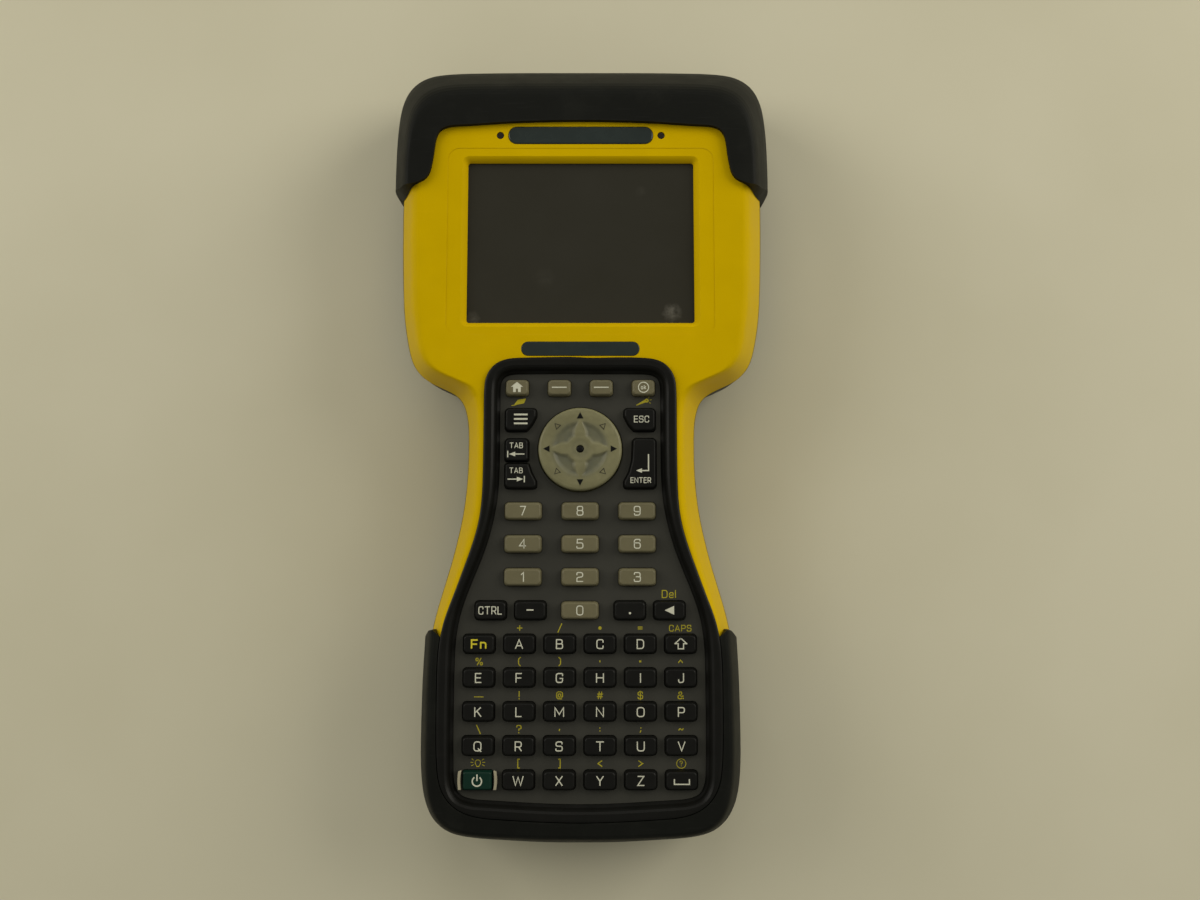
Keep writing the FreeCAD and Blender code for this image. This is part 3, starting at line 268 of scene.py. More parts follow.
# the light edge colour here is a painted highlight along the raised rim of the plates, broken up
# like wear
surface("plate_gloss", base=(0.0125, 0.0205, 0.0190), roughness=0.26, tone=0.14, grain=0.6,
        bump=0.02, blotch=30.0, edge_wear_and_glint=0.18, edge_wear_and_glint_color=(0.10, 0.12, 0.12), edge_wear_and_glint_width=0.35,
        coat=0.35, coat_roughness=0.10, scratch=0.06, specular=0.3)
surface("lens_dark", base=(0.012, 0.007, 0.003), roughness=0.22, tone=0.1, grain=0.6,
        bump=0.02, blotch=60.0, coat=0.4, coat_roughness=0.12, specular=0.3)
surface("circuit_board", base=(0.010, 0.075, 0.030), roughness=0.35, tone=0.20, grain=0.8,
        bump=0.25, blotch=120.0)
surface("battery_case", base=(0.012, 0.012, 0.014), roughness=0.45, tone=0.1, grain=0.4,
        bump=0.2, blotch=30.0, edge_wear_and_glint=0.4)
surface("speaker_can", base=(0.45, 0.45, 0.45), roughness=0.35, grain=0.5, bump=0.1,
        blotch=60.0, metallic=1.0)
surface("socket_metal", base=(0.52, 0.50, 0.46), roughness=0.30, grain=0.5, bump=0.08,
        blotch=60.0, metallic=1.0, edge_wear_and_glint=0.4)
surface("steel_bar", base=(0.42, 0.42, 0.42), roughness=0.28, grain=0.4, bump=0.1,
        blotch=80.0, metallic=1.0, scratch=0.3)
surface("lcd_frame", base=(0.010, 0.010, 0.010), roughness=0.5, tone=0.1, grain=0.5, bump=0.1)
surface("stylus_black", base=(0.008, 0.008, 0.0085), roughness=0.38, tone=0.1, grain=0.4,
        bump=0.14, blotch=40.0, edge_wear_and_glint=0.4, edge_wear_and_glint_color=(0.03, 0.03, 0.03), specular=0.25)
surface("ink_white", base=(0.56, 0.56, 0.45), roughness=0.55, tone=0.10, bump=0.15,
        blotch=300.0, dust=0.25, dust_color=(0.34, 0.34, 0.27))
surface("ink_yellow", base=(0.40, 0.345, 0.022), roughness=0.58, tone=0.12, bump=0.15,
        blotch=300.0, dust=0.20, dust_color=(0.20, 0.17, 0.03), specular=0.2)
surface("ink_yellow_key", base=(0.60, 0.52, 0.03), roughness=0.55, tone=0.10, bump=0.15,
        blotch=300.0, dust=0.15, dust_color=(0.32, 0.27, 0.04), specular=0.2)
surface("ink_black", base=(0.0035, 0.0035, 0.0030), roughness=0.45, tone=0.12, blotch=200.0,
        specular=0.15)
surface("ink_faint", base=(0.045, 0.041, 0.026), roughness=0.5, tone=0.10, blotch=200.0,
        specular=0.2)
surface("guard_cream", base=(0.36, 0.325, 0.22), roughness=0.5, tone=0.1, blotch=60.0,
        edge_wear_and_glint=0.5, edge_wear_and_glint_color=(0.52, 0.48, 0.36), edge_wear_and_glint_width=0.3)

# x, y and radius in metres, strength
SMUDGES = [
    (0.0302, 0.0405, 0.0034, 0.85), (-0.0355, 0.0385, 0.0026, 0.45),
    (0.020, 0.0815, 0.0020, 0.10), (-0.012, 0.0520, 0.004, 0.08),
]
SMUDGE_Z = 0.0431


def screen_material():
    """Dark display behind a satin touch film, with a slow gradient (a painted reflection,
    lighter towards the bottom), haze and faint smudges.
    """
    shade = Shader("screen_film")
    # painted reflection: the film is lighter towards the bottom of the screen
    along = shade.scaled(shade.xyz()[1], gain=-12.0, offset=1.27, clamp=True)
    color = shade.mix(along, rgba((0.0195, 0.0180, 0.0108)), rgba((0.0225, 0.0205, 0.0128)))
    haze = shade.ramp(shade.noise(scale=38.0, detail=4.0, roughness=0.6), start=0.35, end=0.75)
    haze_strength = 0.22
    color = shade.mix(shade.times(haze, haze_strength), color, rgba((0.031, 0.029, 0.021)))
    for x, y, radius, strength in SMUDGES:
        distance = shade.node("VectorMath", {0: shade.point, 1: (x, y, SMUDGE_Z)},
                              output="Value", operation="DISTANCE")
        wobble = shade.scaled(shade.noise(scale=480.0, detail=3.0, roughness=0.6),
                              gain=0.0022, offset=-0.0011)
        share = shade.math("DIVIDE", shade.add(distance, wobble), radius)
        spot = shade.math("SUBTRACT", 1.0, share, clamp=True)
        broken = shade.ramp(shade.noise(scale=520.0, detail=3.0, roughness=0.6),
                            start=0.25, end=0.75)
        smudge = shade.times(shade.times(spot, broken), strength)
        color = shade.mix(smudge, color, rgba((0.19, 0.18, 0.15)))
    uneven = shade.noise(scale=55.0, detail=5.0, roughness=0.65)
    satin = shade.noise(scale=2600.0, detail=2.0, roughness=0.5)
    shade.feed(shade.bsdf, {
        "Base Color": color,
        "Roughness": shade.scaled(uneven, gain=0.22, offset=0.30),
        "Specular IOR Level": 0.22,
        "Coat Weight": 0.08,
        "Coat Roughness": 0.32,
        "Normal": shade.node("Bump", {"Strength": 0.12, "Distance": 0.00002, "Height": satin}),
    })


def webbing_material(name, base, pitch):
    """Webbing woven on the diagonals: yarns pass over and under at a pitch in mm, with fuzz."""
    shade = Shader(name)
    x, y = shade.xyz()[:2]
    diagonal = 0.7071
    turns = 2 * math.pi / (pitch * MM) * diagonal
    warp = shade.times(shade.add(x, y), turns)
    weft = shade.times(shade.math("SUBTRACT", x, y), turns)
    warp_yarn = shade.math("ABSOLUTE", shade.math("SINE", warp))
    weft_yarn = shade.math("ABSOLUTE", shade.math("SINE", weft))
    squares = shade.times(shade.math("SINE", shade.times(warp, 0.5)),
                          shade.math("SINE", shade.times(weft, 0.5)))
    warp_over = shade.math("GREATER_THAN", squares, 0.0)
    weave = shade.add(shade.times(warp_yarn, warp_over),
                      shade.times(weft_yarn, shade.math("SUBTRACT", 1.0, warp_over)))
    fuzz = shade.noise(scale=2600.0, detail=3.0, roughness=0.6)
    fading = shade.noise(scale=60.0, detail=3.0, roughness=0.6)
    # darker between the yarns and lighter on their crowns: painted shade and painted highlight,
    # mixed with random fuzz
    color = shade.ramp(shade.weighted(weave, fuzz, weights=(0.6, 0.4)), start=0.15, end=0.95,
                       low=rgba(base, 0.45), high=rgba(base, 1.7))
    fading_strength = 0.35
    fuzz_height = 0.3
    shade.feed(shade.bsdf, {
        "Base Color": shade.mix(shade.times(fading, fading_strength), color,
                                lighter(base, gain=1.9, lift=0.004)),
        "Roughness": shade.scaled(fuzz, gain=0.12, offset=0.78),
        "Sheen Weight": 0.35,
        "Specular IOR Level": 0.25,
        "Normal": shade.node("Bump", {
            "Strength": 0.8, "Distance": 0.22 * MM,
            "Height": shade.add(weave, shade.times(fuzz, fuzz_height))}),
    })


screen_material()
webbing_material("strap_webbing", base=(0.016, 0.016, 0.017), pitch=1.3)
webbing_material("strap_pad", base=(0.022, 0.022, 0.024), pitch=0.7)
surface("thread", base=(0.05, 0.05, 0.05), roughness=0.7, tone=0.2, grain=0.2, bump=0.4,
        blotch=300.0)

# material: the CAD pieces that take it; every other piece is key_black
CAD_PIECES = {
    "yellow_shell": "front_housing",
    "rear_shell": "rear_housing battery_door",
    "seal_rubber": "housing_seal",
    "screws": "housing_screws cap_screws battery_door_screw_left battery_door_screw_right",
    "black_rubber": "bottom_boot top_cap port_cover",
    "black_frame": "keypad_frame",
    "keymat_rubber": "keymat",
    "screen_film": "touch_panel",
    "lcd_frame": "lcd_module",
    "circuit_board": "main_board keypad_board",
    "battery_case": "battery_pack",
    "speaker_can": "speaker",
    "socket_metal": "card_sockets end_connectors",
    "plate_gloss": "name_plates",
    "lens_dark": "indicator_lenses",
    "steel_bar": "strap_bars",
    "strap_webbing": "hand_strap",
    "stylus_black": "stylus",
    "nav_disc": "nav_pad",
    "key_green": "key_power",
    "key_taupe": "key_home key_softkey_left key_softkey_right key_ok key_0 key_1 key_2 key_3 "
                 "key_4 key_5 key_6 key_7 key_8 key_9",
}
MATERIAL_OF = {piece: name for name, pieces in CAD_PIECES.items() for piece in pieces.split()}
for node_name, piece in NODES.items():
    piece.data.materials.clear()
    piece.data.materials.append(MATERIALS[MATERIAL_OF.get(node_name, "key_black")])


# --------------------------------------------------------- mesh helpers ---
def link_mesh(name, mesh, material):
    """Turns a bmesh into an object in the scene."""
    data = bpy.data.meshes.new(name)
    mesh.to_mesh(data)
    mesh.free()
    made = bpy.data.objects.new(name, data)
    COLLECTION.objects.link(made)
    data.materials.append(MATERIALS[material])
    return made


def add_mesh(name, mesh, body, material, smooth=False):
    """Makes an object that moves with a body of the device."""
    bmesh.ops.recalc_face_normals(mesh, faces=mesh.faces)
    made = link_mesh(name, mesh, material)
    if smooth:
        for face in made.data.polygons:
            face.use_smooth = True
    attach(made, body)
    return made


def add_point(mesh, x, y, z):
    return mesh.verts.new((x * MM, y * MM, z * MM))


def skin(mesh, rings):
    """Quads between each ring of vertices and the next."""
    for near, far in zip(rings, rings[1:]):
        count = len(near)
        for k in range(count):
            after = (k + 1) % count
            mesh.faces.new((near[k], near[after], far[after], far[k]))


def fan(mesh, ring, tip):
    """Triangles from a ring of vertices to one vertex."""
    for k in range(len(ring)):
        mesh.faces.new((tip, ring[k], ring[(k + 1) % len(ring)]))


def direction(start, end):
    return Vector((end[0] - start[0], end[1] - start[1])).normalized()


def rounded(corners, closed, steps=5, weight=0.82):
    """Polyline through corners (x, y, optional radius), each rounded by a weighted curve."""
    points = []
    count = len(corners)
    for i, corner in enumerate(corners):
        if len(corner) < 3 or (not closed and i in (0, count - 1)):
            points.append(corner[:2])
            continue
        before, after = corners[i - 1], corners[(i + 1) % count]
        back = Vector((before[0] - corner[0], before[1] - corner[1]))
        onward = Vector((after[0] - corner[0], after[1] - corner[1]))
        room = min(back.length * 0.5, onward.length * 0.5)
        back.normalize()
        onward.normalize()
        half_angle = math.acos(max(-1.0, min(1.0, back.dot(onward)))) / 2
        cut = min(corner[2] / math.tan(half_angle), room)
        middle = Vector(corner[:2])
        start = middle + back * cut
        end = middle + onward * cut
        for k in range(steps + 1):
            t = k / steps
            pull = 2 * weight * t * (1 - t)
            point = start * (1 - t) ** 2 + middle * pull + end * t * t
            point = point / ((1 - t) ** 2 + pull + t * t)
            points.append((point.x, point.y))

    # neighbouring curves can meet, so doubled points are dropped
    same = 1e-4
    clean = []
    for point in points:
        if not clean or math.dist(point, clean[-1]) > same:
            clean.append(point)
    if closed and math.dist(clean[0], clean[-1]) < same:
        clean.pop()
    return clean


# -------------------------------------------------------------- glyphs ---
def box(width, height, radius, y=0.0, x=0.0):
    """Closed stroke round a box with rounded corners."""
    corners = ((x, y), (x, y + height), (x + width, y + height), (x + width, y))
    return " ".join(f"{a},{b},{radius}" for a, b in corners) + " z"


# Squared stroke characters on a grid whose capitals are six units high.
# character: advance, strokes parted by ";". A stroke lists corners "x,y" or "x,y,radius" and
# ends in "z" where it is closed.
GLYPHS = {
    "A": (5.0, "0,0 2.5,6 5,0; 0.85,1.9 4.15,1.9"),
    "B": (4.3, "0,3.15 0,6 4,6,1.2 4,3.15,1.2 z; 0,0 0,3.15 4.3,3.15,1.2 4.3,0,1.2 z"),
    "C": (4.3, "4.3,4.2 4.3,6,1.4 0,6,1.6 0,0,1.6 4.3,0,1.4 4.3,1.8"),
    "D": (4.5, "0,0 0,6 4.5,6,2 4.5,0,2 z"),
    "E": (3.9, "3.9,6 0,6 0,0 3.9,0; 0,3.1 3.6,3.1"),
    "F": (3.9, "3.9,6 0,6 0,0; 0,3 3.5,3"),
    "G": (4.4, "4.4,4.5 4.4,6,1.4 0,6,1.6 0,0,1.6 4.4,0,1.4 4.4,2.7 2.5,2.7"),
    "H": (4.8, "0,0 0,6; 4.8,0 4.8,6; 0,3.1 4.8,3.1"),
    "I": (0.1, "0,0 0,6"),
    "J": (3.4, "3.4,6 3.4,0,1.5 0,0,1.5 0,1.9"),
    "K": (4.3, "0,0 0,6; 4,6 0.2,2.6; 1.4,3.7 4.3,0"),
    "L": (3.8, "0,6 0,0 3.8,0"),
    "M": (6.0, "0,0 0,6 3,1.4 6,6 6,0"),
    "N": (4.8, "0,0 0,6 4.8,0 4.8,6"),
    "O": (4.8, box(4.8, 6, 1.8)),
    "P": (4.2, "0,2.6 0,6 4.2,6,1.4 4.2,2.6,1.4 z; 0,2.6 0,0"),
    "Q": (4.8, box(4.8, 6, 1.8) + "; 2.9,1.5 4.9,-0.5"),
    "R": (4.3, "0,2.6 0,6 4.2,6,1.4 4.2,2.6,1.4 z; 0,2.6 0,0; 2.3,2.6 4.3,0"),
    "S": (4.3, "4.1,4.6 4.1,6,1.3 0,6,1.3 0,3.1,1.2 4.3,3.1,1.2 4.3,0,1.3 -0.1,0,1.3 -0.1,1.4"),
    "T": (5.0, "0,6 5,6; 2.5,6 2.5,0"),
    "U": (4.8, "0,6 0,0,1.8 4.8,0,1.8 4.8,6"),
    "V": (4.6, "0,6 2.3,0 4.6,6"),
    "W": (7.0, "0,6 1.7,0 3.5,5.6 5.3,0 7,6"),
    "X": (4.4, "0,0 4.4,6; 0,6 4.4,0"),
    "Y": (4.6, "0,6 2.3,2.8 4.6,6; 2.3,2.8 2.3,0"),
    "Z": (4.4, "0.1,6 4.2,6 0,0 4.4,0"),
    "0": (4.4, box(4.4, 6, 1.7)),
    "1": (1.6, "0,4.6 1.6,6 1.6,0"),
    "2": (4.3, "0,4.4 0,6,1.4 4.2,6,1.4 4.2,3.2,1.2 0,2.6,1.2 0,0 4.3,0"),
    "3": (4.3, "0,4.7 0,6,1.3 4.1,6,1.3 4.1,3.15,1 1.2,3.15;"
               "3.1,3.15 4.3,3.15,0.9 4.3,0,1.3 -0.1,0,1.3 -0.1,1.4"),
    "4": (4.6, "3.3,0 3.3,6 0,1.6 4.6,1.6"),
    "5": (4.3, "4,6 0.3,6 0.1,3.5 4.3,3.7,1.4 4.3,0,1.4 -0.1,0,1.3 -0.1,1.3"),
    "6": (4.3, "4.1,4.8 4.1,6,1.3 0,6,1.6 0,0,1.5 4.3,0,1.4 4.3,3.6,1.3 0.1,3.6"),
    "7": (3.8, "0,6 3.8,6 1.3,0"),
    "8": (4.3, box(3.9, 2.85, 1.2, 3.15, 0.2) + ";" + box(4.3, 3.15, 1.3)),
    "9": (4.3, "0.2,1.2 0.2,0,1.3 4.3,0,1.6 4.3,6,1.5 0,6,1.4 0,2.4,1.3 4.2,2.4"),
    "n": (3.4, "0,0 0,4.1 3.4,4.1,1.4 3.4,0"),
    "e": (3.4, "0.1,2.1 3.4,2.1 3.4,4.1,1.2 0,4.1,1.4 0,0,1.4 3.3,0,0.8 3.3,0.6"),
    "l": (0.1, "0,0 0,6"),
    "o": (3.3, box(3.3, 4.1, 1.4)),
    "k": (3.1, "0,0 0,6; 2.8,4.1 0.2,1.6; 1.1,2.5 3.1,0"),
    "+": (4.4, "0,3 4.4,3; 2.2,0.8 2.2,5.2"),
    "/": (3.6, "0,-0.9 3.6,6.9"),
    "\\": (3.6, "0,6.9 3.6,-0.9"),
    "*": (3.4, "0,3 3.4,3; 0.85,1.5 2.55,4.5; 0.85,4.5 2.55,1.5"),
    "=": (4.2, "0,2.1 4.2,2.1; 0,3.9 4.2,3.9"),
    "%": (5.9, box(1.9, 2.3, 0.8, 3.7) + ";" + box(1.9, 2.3, 0.8, 0.0, 4.0)
          + "; 1.2,0 4.7,6"),
    "(": (1.7, "1.7,7 0,5.2,2 0,0.8,2 1.7,-1"),
    ")": (1.7, "0,7 1.7,5.2,2 1.7,0.8,2 0,-1"),
    "'": (0.1, "0,2.4 0,4"),
    "\"": (1.3, "0,2.4 0,4; 1.3,2.4 1.3,4"),
    "^": (3.8, "0,2.1 1.9,4.3 3.8,2.1"),
    "!": (0.1, "0,1.9 0,6.6; 0,-0.3 0,0.4"),
    "@": (5.3, "3.6,1.5 3.6,4.2,0.9 1.5,4.2,1 1.5,1.5,1 5.3,1.5,0.8 5.3,6,2 0,6,2 0,0,2 4.7,0"),
    "#": (5.0, "1,0 1.9,6; 3.1,0 4,6; 0,1.9 4.8,1.9; 0.2,4.1 5,4.1"),
    "$": (4.2, "4.1,4.6 4.1,6,1.2 0,6,1.2 0,3.1,1.1 4.2,3.1,1.1 4.2,0,1.2 0,0,1.2 0,1.4;"
               "2.1,-0.9 2.1,6.9"),
    "&": (5.0, "5,0 0.8,4.4,0.8 0.8,6,1 3.4,6,1 3.4,4.2,0.9 0,2.4,1 0,0,1.2 3.2,0,1.2 4.6,2.7"),
    "?": (3.9, "0,4.9 0,6.4,1.3 3.9,6.4,1.3 3.9,3.6,1 1.9,3.3,0.5 1.9,1.9; 1.9,-0.3 1.9,0.4"),
    ",": (0.7, "0.7,3.2 0,1.6"),
    ":": (0.1, "0,1.3 0,1.9; 0,3.9 0,4.5"),
    ";": (0.7, "0.7,1.9 0,0.3; 0.7,3.9 0.7,4.5"),
    "~": (4.0, "0,2.3 1,3.8,0.7 3,2.2,0.7 4,3.7"),
    "[": (1.7, "1.7,7 0,7 0,-1 1.7,-1"),
    "]": (1.7, "0,7 1.7,7 1.7,-1 0,-1"),
    "<": (3.6, "3.6,5.4 0,3 3.6,0.6"),
    ">": (3.6, "0,5.4 3.6,3 0,0.6"),
}
CAP_UNITS = 6.0


class Relief:
    """Solid strokes standing between two heights.

    drop lowers the top of one stroke a little, so that overlapping tops do not coincide.
    """

    def __init__(self, low, high):
        self.mesh = bmesh.new()
        self.low = low
        self.high = high

    def prism(self, points, drop=0.0):
        lower = [add_point(self.mesh, x, y, self.low) for x, y in points]
        upper = [add_point(self.mesh, x, y, self.high - drop) for x, y in points]
        self.mesh.faces.new(lower[::-1])
        self.mesh.faces.new(upper)
        count = len(points)
        for i in range(count):
            after = (i + 1) % count
            self.mesh.faces.new((lower[i], lower[after], upper[after], upper[i]))

    def bar(self, x0, y0, x1, y1, width, drop=0.0):
        """Straight stroke with square ends."""
        run_x, run_y = x1 - x0, y1 - y0
        length = math.hypot(run_x, run_y)
        side_x = -run_y / length * width / 2
        side_y = run_x / length * width / 2
        self.prism([(x0 + side_x, y0 + side_y), (x0 - side_x, y0 - side_y),
                    (x1 - side_x, y1 - side_y), (x1 + side_x, y1 + side_y)], drop)

    def outline(self, points, width):
        """Bars round a polygon, each run on by half its width at both ends."""
        for i, start in enumerate(points):
            end = points[(i + 1) % len(points)]
            length = math.dist(start, end)
            run_x = (end[0] - start[0]) / length * width / 2
            run_y = (end[1] - start[1]) / length * width / 2
            self.bar(start[0] - run_x, start[1] - run_y, end[0] + run_x, end[1] + run_y,
                     width, drop=0.0015 * (i % 3))

    def sweep(self, sections, closed):
        """Skins four-cornered sections, and caps both ends unless closed."""
        if closed:
            skin(self.mesh, sections + sections[:1])
        else:
            skin(self.mesh, sections)
            self.mesh.faces.new(sections[0][::-1])
            self.mesh.faces.new(sections[-1])

    def arc(self, x, y, radius, width, steps, start=0, end=360, drop=0.0):
        """Ring or part of a ring between two angles in degrees."""
        closed = end - start == 360
        inner, outer = radius - width / 2, radius + width / 2
        top = self.high - drop
        corners = ((inner, self.low), (outer, self.low), (outer, top), (inner, top))
        sections = []
        for i in range(steps if closed else steps + 1):
            angle = math.radians(start + (end - start) * i / steps)
            sections.append([add_point(self.mesh, x + reach * math.cos(angle),
                                       y + reach * math.sin(angle), z)
                             for reach, z in corners])
        self.sweep(sections, closed)

    def stroke(self, points, closed, width, drop=0.0):
        """Stroke along a polyline, mitred at bends, run on a quarter width at open ends."""
        count = len(points)
        top = self.high - drop
        sections = []
        for i, (x, y) in enumerate(points):
            if closed or 0 < i < count - 1:
                arriving = direction(points[i - 1], points[i])
                leaving = direction(points[i], points[(i + 1) % count])
                along = (arriving + leaving).normalized()
                half = width / 2 / max(0.5, along.dot(arriving))
            else:
                first = max(i - 1, 0)
                along = direction(points[first], points[first + 1])
                half = width / 2
                reach = width / 4 if i else -width / 4
                x += along.x * reach
                y += along.y * reach
            side_x, side_y = -along.y * half, along.x * half
            sections.append([add_point(self.mesh, x + side_x, y + side_y, self.low),
                             add_point(self.mesh, x - side_x, y - side_y, self.low),
                             add_point(self.mesh, x - side_x, y - side_y, top),
                             add_point(self.mesh, x + side_x, y + side_y, top)])
        self.sweep(sections, closed)

    def text(self, text, x, y, height, weight, stretch):
        """Characters centred on x, y; weight is the stroke width, stretch scales along X."""
        unit = (height - weight) / CAP_UNITS
        gap = 1.35 + weight / unit * 0.9
        pen = -(sum(GLYPHS[char][0] for char in text) + gap * (len(text) - 1)) / 2
        for char in text:
            advance, strokes = GLYPHS[char]
            for k, path in enumerate(strokes.split(";")):
                closed = path.endswith("z")
                corners = [tuple(float(value) for value in corner.split(","))
                           for corner in path.rstrip(" z").split()]
                points = [(x + (pen + u) * unit * stretch, y + (v - CAP_UNITS / 2) * unit)
                          for u, v in rounded(corners, closed)]
                self.stroke(points, closed, weight, drop=0.002 * k)
            pen += advance + gap

    def rays(self, x, y, inner, outer, angles, width, side=1):
        """Short bars pointing away from x, y; side -1 mirrors them to the left."""
        for angle in angles:
            cos, sin = math.cos(math.radians(angle)), math.sin(math.radians(angle))
            self.bar(x + side * inner * cos, y + inner * sin,
                     x + side * outer * cos, y + outer * sin, width)


# ---------------------------------------------------------- key legends ---
KEY_TOP = 46.3
MAT_TOP = 44.0
KEY_INK = (KEY_TOP - 0.06, KEY_TOP + 0.035)     # bottom and top of the print
MAT_INK = (MAT_TOP - 0.06, MAT_TOP + 0.03)
PITCH_X, PITCH_Y = 12.78, 10.54                 # pitch of the letter keys
SOFT_ROW_Y = 14.9                               # home, soft keys and ok
POWER_X = -32.0
SMALL_WORD = dict(height=1.85, weight=0.235)


def column(index):
    return PITCH_X * (index - 2.5)


def row(index):
    """Y of a letter row, counted from 1 at the row nearest the digits."""
    return -56.75 - PITCH_Y * index


def centre(node):
    low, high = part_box(node)
    middle = (low + high) / 2
    return middle.x / MM, middle.y / MM


def key_legend(body, draw, ink="ink_white"):
    """Print on a key, drawn by a function that takes the relief to draw in."""
    relief = Relief(*KEY_INK)
    draw(relief)
    add_mesh("legend_" + body, relief.mesh, body, ink)


def word_legend(key, text, place=None, ink="ink_white", **style):
    key_legend(key, lambda relief: relief.text(text, *(place or centre(key)), **style), ink)


for digit in range(10):
    word_legend(f"key_{digit}", str(digit), height=3.15, weight=0.34, stretch=0.94)

# body, letters, column of the first letter
LETTER_ROWS = [
    ("letter_keys_a_to_d", "ABCD", 1), ("letter_keys_e_to_j", "EFGHIJ", 0),
    ("letter_keys_k_to_p", "KLMNOP", 0), ("letter_keys_q_to_v", "QRSTUV", 0),
    ("letter_keys_w_to_z", "WXYZ", 1),
]


def draw_letters(relief, letters, first, y):
    for j, letter in enumerate(letters, first):
        relief.text(letter, column(j), y, height=3.1, weight=0.345, stretch=0.98)


for i, (body, letters, first) in enumerate(LETTER_ROWS, 1):
    key_legend(body, lambda relief: draw_letters(relief, letters, first, row(i)))

word_legend("key_fn", "Fn", ink="ink_yellow_key", height=3.05, weight=0.48, stretch=1.08)
word_legend("key_ctrl", "CTRL", height=2.6, weight=0.30, stretch=0.80)
word_legend("key_esc", "ESC", place=(19.8, 4.5), height=2.2, weight=0.26, stretch=0.86)


def draw_tab(relief, y, side):
    """The word over an arrow that runs to a stop bar; side 1 points right, -1 left."""
    x = -20.6
    relief.text("TAB", x, y + 1.45, **SMALL_WORD, stretch=0.82)
    arrow_y = y - 1.35
    stop_x = x + side * 2.7
    relief.bar(stop_x, arrow_y - 1.05, stop_x, arrow_y + 1.05, width=0.36)
    relief.bar(x - side * 2.7, arrow_y, x + side * 0.6, arrow_y, width=0.34)
    base_x = x + side * 0.3
    head = [(base_x, arrow_y + 0.75), (base_x, arrow_y - 0.75), (x + side * 2.3, arrow_y)]
    relief.prism(head[::side], drop=0.004)      # the outline turns the same way on both keys


def draw_enter(relief):
    """Arrow coming down and turning left, over the word."""
    relief.bar(22.0, -6.9, 22.0, -12.35, width=0.40)
    relief.bar(22.2, -12.2, 19.3, -12.2, width=0.40, drop=0.003)
    relief.prism([(18.0, -12.2), (19.9, -11.45), (19.9, -12.95)], drop=0.006)
    relief.text("ENTER", 19.5, -15.3, **SMALL_WORD, stretch=0.78)


def draw_menu(relief):
    for k in range(3):
        y = 6.0 - 1.45 * k
        relief.bar(-21.4, y, -17.0, y, width=0.55)


def draw_home(relief):
    """House: a roof, and walls round a door opening."""
    x, y = -20.5, SOFT_ROW_Y
    roof = [(-2.0, 0.15), (2.0, 0.15), (0, 1.75)]
    walls = [(-1.25, -1.55), (-0.35, -1.55), (-0.35, -0.45), (0.35, -0.45),
             (0.35, -1.55), (1.25, -1.55), (1.25, 0.14), (-1.25, 0.14)]
    for shape in (roof, walls):
        relief.prism([(x + u, y + v) for u, v in shape])


def draw_softkey(relief, x):
    relief.bar(x - 2.4, SOFT_ROW_Y, x + 2.4, SOFT_ROW_Y, width=0.34)


def draw_ok(relief):
    x = 20.5
    relief.arc(x, SOFT_ROW_Y, radius=1.65, width=0.30, steps=36)
    relief.text("ok", x, SOFT_ROW_Y + 0.05, height=1.45, weight=0.22, stretch=0.85)


def draw_point(relief):
    radius = 0.36
    angles = [k * math.pi / 8 for k in range(16)]
    relief.prism([(15.9 + radius * math.cos(a), -57.6 + radius * math.sin(a)) for a in angles])


def draw_shift(relief):
    """Outlined arrow pointing up."""
    x, y = column(5), -67.2
    arrow = [(0, 1.75), (-1.85, 0.05), (-0.85, 0.05), (-0.85, -1.55),
             (0.85, -1.55), (0.85, 0.05), (1.85, 0.05)]
    relief.outline([(x + u, y + v) for u, v in arrow], width=0.34)


def draw_power(relief):
    """Ring open at the top, with a bar through the gap."""
    y = -109.6
    width = 0.42
    relief.arc(POWER_X, y, radius=1.45, width=width, start=124, end=416, steps=30)
    relief.bar(POWER_X, y + 0.1, POWER_X, y + 2.1, width)


def draw_space(relief):
    """Shallow tray: two upright ends on a long bar."""
    x, y = column(5), -109.8
    width = 0.38
    floor_y = y - 0.7
    for end_x in (x - 2.35, x + 2.35):
        relief.bar(end_x, y + 0.9, end_x, floor_y, width)
    relief.bar(x - 2.53, floor_y, x + 2.53, floor_y, width, drop=0.003)


key_legend("key_tab_back", lambda relief: draw_tab(relief, y=-5.5, side=-1))
key_legend("key_tab_forward", lambda relief: draw_tab(relief, y=-13.6, side=1))
key_legend("key_enter", draw_enter)
key_legend("key_menu", draw_menu)
key_legend("key_home", draw_home)
key_legend("key_softkey_left", lambda relief: draw_softkey(relief, x=-6.8))
key_legend("key_softkey_right", lambda relief: draw_softkey(relief, x=6.8))
key_legend("key_ok", draw_ok)
key_legend("key_minus", lambda relief: relief.bar(-16.9, -56.6, -14.7, -56.6, width=0.42))
key_legend("key_point", draw_point)
key_legend("key_backspace",
           lambda relief: relief.prism([(26.9, -56.7), (29.9, -55.3), (29.9, -58.1)]))
key_legend("key_shift", draw_shift)
key_legend("key_power", draw_power)
key_legend("key_space", draw_space)

# ------------------------------------------------------ print on the mat ---
# letter row: the characters above its keys, one per column; a blank leaves a column empty
MAT_ROWS = {1: " +/*=", 2: "%()'\"^", 3: " !@#$&", 4: "\\?,:;~", 5: " []<>"}
MAT_HEIGHT = 2.45
MAT_HEIGHTS = {"(": 2.35, ")": 2.35, "[": 2.35, "]": 2.35, "@": 2.5, ",": 2.2, "'": 2.1,
               "\"": 2.1, "*": 2.1, "+": 2.5, "~": 2.5, "=": 2.3, "<": 2.5, ">": 2.5}
ABOVE_KEY = 4.95        # from a key's centre up to the character over it


